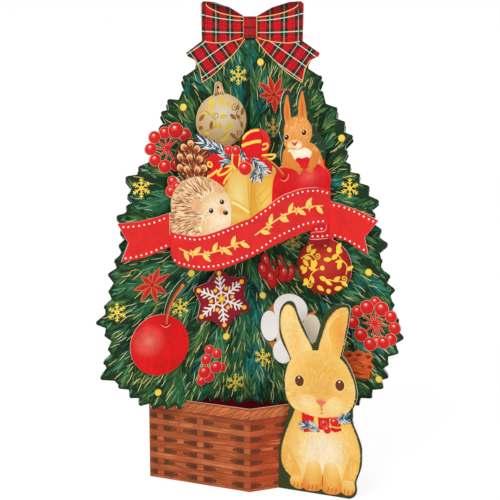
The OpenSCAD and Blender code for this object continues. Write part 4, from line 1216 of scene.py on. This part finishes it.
# Basket: the front sheet with two walls, printed as woven wicker. The strands are dark where they pass
# behind the upright stakes, and a twisted rim runs along the top.
# The right wall's strands are inked darker and redder than the left's: painted shade on the wall that faces
# away from the key lamp.
WICKER = {side: [printed("wicker %s %d" % (word, k), ink, mottle=0.75) for k, ink in enumerate(inks)]
          for side, word, inks in (
              (-1, "left", (tone(188, 99, 57), tone(176, 88, 48), tone(163, 79, 42))),
              (1, "right", (tone(189, 83, 45), tone(176, 73, 38), tone(161, 63, 35))))}
RIM_TWIST = [printed("wicker rim %d" % k, ink, mottle=0.7) for k, ink in enumerate((
    tone(208, 118, 68), tone(198, 108, 60), tone(190, 98, 54)))]
WICKER_GLINT = printed("wicker glint", tone(206, 122, 74), mottle=0.6)
WICKER_GAP = printed("wicker gap", tone(138, 64, 38), mottle=0.8)
WICKER_BLOCK = printed("wicker block", tone(100, 55, 34), mottle=0.9)
BLOCK = [(0, 0.5), (0.6, 0.48), (0.92, 0.34), (1, 0.16), (1, -0.16), (0.92, -0.34), (0.6, -0.48), (0, -0.5)]
STRAND_PITCH = 2.375
STRAND_WIDTH = 2.3
STRAND_FOOT = 2.4
STREAKS = 10
GLINT_SHARE = 0.16
BLOCK_REACH = (4.4, 6.4)
STAKES = {-1: (-39.3, -21.6, -1.2), 1: (-1.2, 17.6, 36.4)}
STAKE_HALF = 1.4
WALL_W = 44.2
RIM_LOW = 29
TWISTS = 13
TWIST_TURN = 30

dress("basket_front", printed("basket", tone(176, 88, 48), mottle=0.7, sheet=True))
for side, word in SIDES:
    wall = Print("basket_weave_" + word, panel("basket_front", side, side), "basket")
    for row in range(-1, 12):
        y = STRAND_FOOT + STRAND_PITCH * row
        wave = [(side * WALL_W * k / 12, y + 0.1 * math.sin(2.6 * k + row)) for k in range(13)]
        if y > STRAND_FOOT:
            wall.stroke(WICKER[side][row % 3], wave, STRAND_WIDTH, (1, 1))
        for _ in range(STREAKS):
            reach = draw.uniform(5, 15)
            start = draw.uniform(0, WALL_W - reach)
            level = max(0.5, y + draw.uniform(-0.8, 0.8))
            streak = [(side * (start + reach * k / 4), level + 0.1 * math.sin(k + row)) for k in range(5)]
            ink = WICKER_GLINT if draw.random() < GLINT_SHARE else draw.choice(WICKER[side])
            wall.stroke(ink, streak, draw.uniform(0.35, 0.8), (0.1, 0.1))
        if row >= 0:
            wall.stroke(WICKER_GAP, [(x, z - 1.15) for x, z in wave], 0.28, (1, 1))
        for stake in STAKES[side] if row % 2 == 0 and y < RIM_LOW - 1 else ():
            for way in (-1, 1):
                root = stake + STAKE_HALF * way
                room = WALL_W - root * side if way == side else root * side
                reach = min(draw.uniform(*BLOCK_REACH), room - 0.1)
                if reach > 1 and root * side > 0:
                    wall.field(WICKER_BLOCK, BLOCK, (root, y), 0, (reach * way, 2))
                    for fade in (-0.5, 0.4):
                        streak = [(root + way * reach * share, y + fade) for share in (1, 0.75, 0.5)]
                        wall.stroke(WICKER[side][2], streak, 0.24)
    wall.stroke(WICKER_GAP, [(side * WALL_W * k / 8, RIM_LOW) for k in range(9)], 0.5, (1, 1))
    for k in range(TWISTS):
        x = side * WALL_W * (k + 0.5) / TWISTS
        start = max(x - 3.4, 0.2 - WALL_W)
        reach = min(8, (WALL_W - 0.2 - start) / math.cos(math.radians(TWIST_TURN)))
        wall.field(WICKER_GAP, PETAL, (start, 29.5), TWIST_TURN, (reach, 3.5))
        wall.field(RIM_TWIST[k % 3], PETAL, (start + 0.1, 29.6), TWIST_TURN, (reach - 0.3, 3))
        for ink, root, shares, width in ((WICKER_GLINT, (start + 0.4, 30), (0.1, 0.4, 0.7), 0.5),
                                         (WICKER_GAP, (start + 1, 29.7), (0.1, 0.36, 0.6), 0.3)):
            wall.stroke(ink, [around(root, reach * share, TWIST_TURN) for share in shares], width)
    wall.finish(side)

# Rabbit: a folded panel of its own, glued to the basket by a tab. It is printed as a sitting rabbit with
# a bow tie, inside a dark green border that stays wide at the fold.
RABBIT = panel("rabbit_panel", 1, -1)
CREAM = tone(249, 230, 196)
BUTTER = tone(249, 216, 142)
GOLDEN = tone(246, 201, 110)
HONEY = tone(241, 184, 82)
AMBER = tone(236, 160, 70)
RUSSET = tone(226, 132, 54)
MUZZLE_PALE = tone(252, 228, 168)
FUR_SHADE = printed("rabbit shade", tone(241, 184, 92))
FUR_GOLD = printed("rabbit gold", tone(245, 201, 114))
FUR_LIGHT = printed("rabbit light", tone(249, 216, 140))
FUR_PALE = printed("rabbit pale", tone(253, 238, 208))
FUR_AMBER = printed("rabbit amber", AMBER)
EYE_CHESTNUT = printed("eye chestnut", tone(112, 52, 34))
NOSE_PINK = printed("nose pink", tone(236, 120, 94))
NOSE_LIGHT = printed("nose light", tone(246, 164, 134))
TOE_LINE = printed("toe line", tone(206, 104, 44))
EAR_LEFT = [(18, 52.6), (15.8, 57.9), (13.9, 62.5), (13.1, 66.7), (13.4, 71), (14.7, 73.9), (16.2, 74.9),
            (17.7, 74.2), (18.9, 72.5), (20.6, 68.5), (22.9, 64), (25.1, 60.6), (26.4, 57.5)]
EAR_RIGHT = [(28.8, 57.6), (29.5, 61), (30.8, 65.4), (32.5, 70.2), (35.5, 74.2), (38.2, 75.7), (40.2, 75.7),
             (40.5, 72.8), (39.9, 68.5), (39.1, 64.2), (38.3, 59.9), (37.2, 55)]
EAR_FOLD = [(40.1, 74.6), (35.5, 71.7), (33, 68.3), (32.8, 65.1), (33.8, 60.4), (33.5, 57.2)]
HEAD = [(18, 54.1), (16.2, 50.4), (15.3, 46.5), (15.2, 43.2), (15.8, 38.6), (17.4, 35.5), (19.6, 33.6),
        (22.9, 32.7), (27.2, 31.7), (31.6, 31.8), (36, 32.7), (40.2, 34.1), (42.8, 37.3), (43.9, 41.5),
        (43.6, 45.7), (42.1, 49.8), (40, 53.7), (37.5, 56), (33.4, 57.7), (27.5, 58.1), (22.6, 56.8)]
BODY = [(19.6, 33.4), (18, 29.4), (16.1, 24.8), (14.4, 19.4), (13.8, 15), (14.1, 10.8), (15.9, 7.4),
        (18.2, 5.2), (20.4, 3), (30.8, 2.4), (42, 3.4), (44, 6.4), (45.2, 10.4), (45.8, 13), (46.2, 16.6),
        (46, 20.6), (44.8, 25), (42.8, 29.6), (41, 33.4), (35, 37), (25, 37)]
THIGHS = ([(14.5, 19.2), (13.9, 15), (14.2, 10.9), (16, 7.5), (18.6, 5.4), (22, 6.2), (21, 9.6),
           (19.2, 12.9), (17.3, 17.2), (15.8, 20)],
          [(45.9, 19), (46, 15), (45.1, 10.6), (43.6, 6.6), (39.4, 6.4), (40, 9.6), (41, 13), (43, 17.4),
           (44.6, 20)])
PAWS = ([(18.1, 5.8), (17.4, 3), (19.5, 1.2), (22.4, 1.2), (23.8, 3.8), (22, 6.4)],
        [(39.1, 6.6), (38.6, 3.1), (40.3, 1.4), (43.1, 1.8), (44.5, 3.9), (44.1, 6.8), (41.9, 7.5)],
        [(24.8, 12), (23.5, 7.4), (22.6, 3.2), (24.1, 1), (27.5, 0.9), (30.3, 2.1), (30.7, 6.4), (30, 12),
         (27.4, 14)],
        [(32, 12), (31.1, 6.4), (30.9, 2.3), (32.5, 0.9), (35.9, 0.8), (38.5, 2), (39.1, 5.2), (38, 9.4),
         (36.8, 12.6), (34.6, 14)])
MUZZLES = ([(29.9, 35.4), (27.1, 33.5), (23.8, 33.7), (21, 35.8), (21.2, 38.6), (23.7, 40.2),
            (26.5, 39.8), (28.2, 37.9)],
           [(30.7, 35.5), (32.7, 33.1), (37.1, 33.9), (39.3, 36.6), (38.7, 39.2), (35.9, 40.7),
            (33.7, 39.6), (32.2, 37.7)])


def rabbit_fur(name, at, reach, *shades):
    """Fur that changes evenly from the rim of an oval to its middle."""
    stops = [(i / (len(shades) - 1), shade) for i, shade in enumerate(shades)]
    return printed(name, radial(RABBIT, at, reach, stops), mottle=0.18)


def down(x, y):
    return -90 + (30 - x)


from_nose = away_from((30.2, 38))
dress("rabbit_panel", printed("rabbit border", tone(54, 66, 38), sheet=True))
rabbit = Print("rabbit_print", RABBIT, "rabbit")
rabbit.field(rabbit_fur("left ear", (19.4, 60), (9, 17), BUTTER, BUTTER, GOLDEN), smooth(EAR_LEFT))
rabbit.field(rabbit_fur("right ear", (37.6, 66), (7, 15), GOLDEN, HONEY, AMBER), smooth(EAR_RIGHT))
rabbit.field(rabbit_fur("ear lap", (30, 68), (9, 14), HONEY, GOLDEN, BUTTER),
             smooth(EAR_FOLD) + smooth([(30, 57.6), (30.2, 61), (31.4, 65.4), (33, 70), (35.9, 73.8),
                                        (38.6, 75.4)]))
rabbit.stroke(FUR_LIGHT, smooth(EAR_FOLD), 0.4)
fur(rabbit, (FUR_GOLD, FUR_SHADE, FUR_LIGHT), 130, (17.8, 64), (2.6, 9), lambda x, y: 105, 1.5, 0.2)
fur(rabbit, (FUR_SHADE, FUR_AMBER), 90, (37.4, 65), (2, 8.5), lambda x, y: 82, 1.5, 0.2)
fringe(rabbit, FUR_GOLD, EAR_LEFT, 0.6, 0.3, 24)
fringe(rabbit, FUR_GOLD, EAR_RIGHT, 0.6, 0.3, 24)

rabbit.field(rabbit_fur("body fur", (30.8, 16), (18, 21), HONEY, GOLDEN, BUTTER, CREAM, CREAM),
             smooth(BODY, True))
for middle in ((19.4, 19), (41.6, 19)):
    fur(rabbit, (FUR_SHADE, FUR_GOLD, FUR_LIGHT), 150, middle, (2.6, 9), down, 1.6, 0.2)
fur(rabbit, (FUR_LIGHT, FUR_PALE, FUR_PALE), 340, (30.4, 18.5), (9.4, 8.6), down, 1.8, 0.2)
fringe(rabbit, FUR_GOLD, BODY[:7], 0.6, 0.3, -24)
fringe(rabbit, FUR_GOLD, BODY[12:19], 0.6, 0.3, -24)
for outline, middle in zip(THIGHS, ((17, 10), (43.6, 10))):
    rabbit.field(rabbit_fur("thigh %d" % middle[0], middle, (6, 11), GOLDEN, HONEY, HONEY),
                 smooth(outline, True))
    fur(rabbit, (FUR_SHADE, FUR_GOLD, FUR_LIGHT), 70, (middle[0], 12), (1.5, 3.6), down, 1.5, 0.2)
rabbit.stroke(FUR_SHADE, smooth([(17.3, 17.2), (19.2, 12.9), (21, 9.6), (22, 6.2)]), 0.5)
rabbit.stroke(FUR_SHADE, smooth([(43, 17.4), (41, 13), (40, 9.6), (39.4, 6.4)]), 0.5)
for outline in PAWS:
    x = sum(p[0] for p in outline) / len(outline)
    knee = max(p[1] for p in outline) + 1
    skin = rabbit_fur("paw %d" % x, (x, knee), (7.5, knee), RUSSET, AMBER, HONEY, GOLDEN, BUTTER,
                      CREAM if knee > 9 else BUTTER)
    rabbit.field(skin, smooth(outline, True))
    for k in (-1.4, 0.2, 1.8):
        toe = [(x + k - 0.3, 1.5), (x + k, 2.6), (x + k + 0.1, 3.8)]
        rabbit.stroke(TOE_LINE, smooth(toe), 0.45, (0.9, 0.2))
    fur(rabbit, (FUR_SHADE, FUR_GOLD), 40, (x, 6), (2, 2), down, 1, 0.2)
rabbit.stroke(TOE_LINE, smooth([(30.9, 8.4), (31.1, 6.6), (30.9, 3.4)]), 0.5, (0.1, 0.9))

TIE_LEFT = [(21.7, 32.6), (27.2, 31.8), (26.9, 25.4), (22.7, 24.5), (21.9, 27.8)]
TIE_KNOT = [(28.9, 31.9), (33.6, 32), (33.7, 26.9), (29.2, 26.5)]
TIE_RIGHT = [(33.6, 32), (38.8, 32.6), (39.1, 27.4), (36.1, 26.2), (34.4, 26.8)]
for loop in (TIE_LEFT, TIE_KNOT, TIE_RIGHT):
    rabbit.field(BOW_RED, loop)
for path, width in (([(28.2, 31.6), (27.9, 28.6), (28.5, 26)], 0.9),
                    ([(33.8, 31.4), (34.2, 29), (33.8, 26.8)], 0.6),
                    ([(39, 32.2), (38.7, 29.6), (39, 27.4)], 0.6),
                    ([(34.6, 28.4), (36.8, 28.2), (38.8, 28.8)], 0.5),
                    ([(22, 32.4), (22.1, 28.4), (22.9, 24.7)], 0.3)):
    rabbit.stroke(BOW_YELLOW, smooth(path), width, (1, 1))
rosemary(rabbit, [(29.6, 25.6), (27.4, 26.8), (25.2, 27.4), (23.8, 27.2)], 3.6)

rabbit.field(rabbit_fur("head fur", (30.6, 47), (17, 17), BUTTER, GOLDEN, HONEY, HONEY), smooth(HEAD, True))
fur(rabbit, (FUR_SHADE, FUR_GOLD, FUR_GOLD, FUR_GOLD, FUR_LIGHT), 520, (29.6, 45.5), (13, 11.6),
    from_nose, 1.6, 0.2)
for middle, half, count in (((30.2, 42), (3.4, 4.6), 150), ((18.4, 40), (2.2, 4), 60),
                            ((41, 40.4), (2.2, 4), 60), ((25.6, 41.4), (3.4, 1.4), 60),
                            ((35, 42), (3.4, 1.4), 60)):
    fur(rabbit, (FUR_SHADE, FUR_GOLD), count, middle, half, from_nose, 1.6, 0.22)
fringe(rabbit, FUR_GOLD, HEAD[:12], 0.6, 0.3, -24)
fringe(rabbit, FUR_GOLD, HEAD[12:17], 0.6, 0.3, -24)
for outline, middle in zip(MUZZLES, ((24.6, 36.6), (36, 36.6))):
    skin = rabbit_fur("muzzle %d" % middle[0], middle, (6.4, 5.4), GOLDEN, BUTTER, MUZZLE_PALE)
    rabbit.field(skin, smooth(outline, True))
    fur(rabbit, (FUR_LIGHT, FUR_GOLD), 70, middle, (4, 2.8), from_nose, 1.6, 0.2)
for x, y in ((21.1, 45.2), (37.8, 45.4)):
    rabbit.oval(FUR_LIGHT, (x, y), (2.15, 2.5), 0, 28)
    rabbit.oval(EYE_BROWN, (x, y), (1.85, 2.2), 0, 28)
    rabbit.oval(EYE_CHESTNUT, (x, y - 0.05), (1.62, 1.95), 0, 24)
    rabbit.oval(BERRY_SHINE, (x - 0.2, y + 1.3), (0.36, 0.42), 0, 12)
rabbit.field(NOSE_PINK,
             smooth([(28.1, 38), (30.1, 39.2), (32.2, 38.1), (31.3, 36.9), (30.3, 36.1), (29.2, 36.8)],
                    True))
rabbit.stroke(NOSE_LIGHT, smooth([(28.6, 38.1), (30.1, 38.8), (31.7, 38.1)]), 0.5)
rabbit.stroke(CREASE, [(30.3, 36.2), (30.4, 35.2), (30.4, 34.2)], 0.4, (1, 1))
rabbit.oval(CREASE, (30.5, 33.3), (0.55, 0.3), 0, 12)
rosemary(rabbit, [(36.4, 30.8), (38.4, 31.7), (40, 32.4)], 3.8)
for place, reach in (((31.4, 29.2), 1.4), ((32.8, 26.9), 1.6), ((35.7, 30.3), 1.8)):
    berry(rabbit, place, reach)
rabbit.finish()

# Studio: a plain pale floor, white background, one broad soft lamp from the upper left and a fill.
# The camera stands in front of the fold, a little above the middle of the card, and looks down at it.
CAMERA_PLACE = (0, -0.5452, 0.205)
CAMERA_TILT = 78.54
CAMERA_LENS = 102.8
FLOOR_GREY = 0.82
FLOOR_HALF = 4
GLOW = 1.3
GLOW_RISE = 0.08
GLOW_SHARE = 0.6
SKY_DIM = 0.55
SKY_SEEN = 0.45
LAMP_AIM = Vector((0, 0, 0.1))


def seen_directly(tree):
    """A mask of the rays that reach the eye straight, in a mirror or through glass."""
    rays = node(tree, "LightPath").outputs
    seen = calc(tree, "MAXIMUM", rays["Is Camera Ray"], rays["Is Glossy Ray"])
    return calc(tree, "MAXIMUM", seen, rays["Is Transmission Ray"])


floor_mesh = bmesh.new()
bmesh.ops.create_grid(floor_mesh, x_segments=1, y_segments=1, size=FLOOR_HALF)
floor_data = bpy.data.meshes.new("floor")
floor_mesh.to_mesh(floor_data)
floor_mesh.free()
floor = bpy.data.objects.new("floor", floor_data)
bpy.context.scene.collection.objects.link(floor)
paper = bpy.data.materials.new("pale floor")
paper.use_nodes = True
floor_tree = paper.node_tree
floor_shader = floor_tree.nodes["Principled BSDF"]
floor_shader.inputs["Base Color"].default_value = (FLOOR_GREY, FLOOR_GREY, FLOOR_GREY, 1)
floor_shader.inputs["Roughness"].default_value = 0.9
floor_shader.inputs["Specular IOR Level"].default_value = 0.1
far = calc(floor_tree, "MAXIMUM", object_axes(floor_tree)["Y"], 0.0)
strength = calc(floor_tree, "ADD", calc(floor_tree, "MULTIPLY", far, GLOW_RISE), GLOW)
glow = node(floor_tree, "Emission", {"Color": (1, 1, 1, 1), "Strength": strength}).outputs[0]
share = calc(floor_tree, "MULTIPLY", seen_directly(floor_tree), GLOW_SHARE)
both = node(floor_tree, "MixShader", {0: share, 1: floor_shader.outputs[0], 2: glow}).outputs[0]
floor_tree.links.new(both, floor_tree.nodes["Material Output"].inputs["Surface"])
floor_data.materials.append(paper)

world = bpy.data.worlds.new("studio")
bpy.context.scene.world = world
world.use_nodes = True
sky = world.node_tree
brightness = calc(sky, "ADD", calc(sky, "MULTIPLY", seen_directly(sky), SKY_SEEN), SKY_DIM)
sky.links.new(brightness, sky.nodes["Background"].inputs["Strength"])
sky.nodes["Background"].inputs["Color"].default_value = (1, 1, 1, 1)


def soft_lamp(name, place, size, watts):
    data = bpy.data.lights.new(name, "AREA")
    data.size = size
    data.energy = watts
    lamp = bpy.data.objects.new(name, data)
    lamp.location = place
    lamp.rotation_euler = (LAMP_AIM - Vector(place)).to_track_quat("-Z", "Y").to_euler()
    bpy.context.scene.collection.objects.link(lamp)


soft_lamp("key", (-0.45, -0.75, 0.75), 0.6, 5.4)
soft_lamp("fill", (0.7, -0.6, 0.4), 0.8, 2.2)

camera_data = bpy.data.cameras.new("camera")
camera_data.lens = CAMERA_LENS
camera_data.sensor_width = 36
camera = bpy.data.objects.new("camera", camera_data)
camera.location = CAMERA_PLACE
camera.rotation_euler = (math.radians(CAMERA_TILT), 0, 0)
bpy.context.scene.collection.objects.link(camera)
bpy.context.scene.camera = camera
bpy.context.scene.view_settings.view_transform = "Standard"
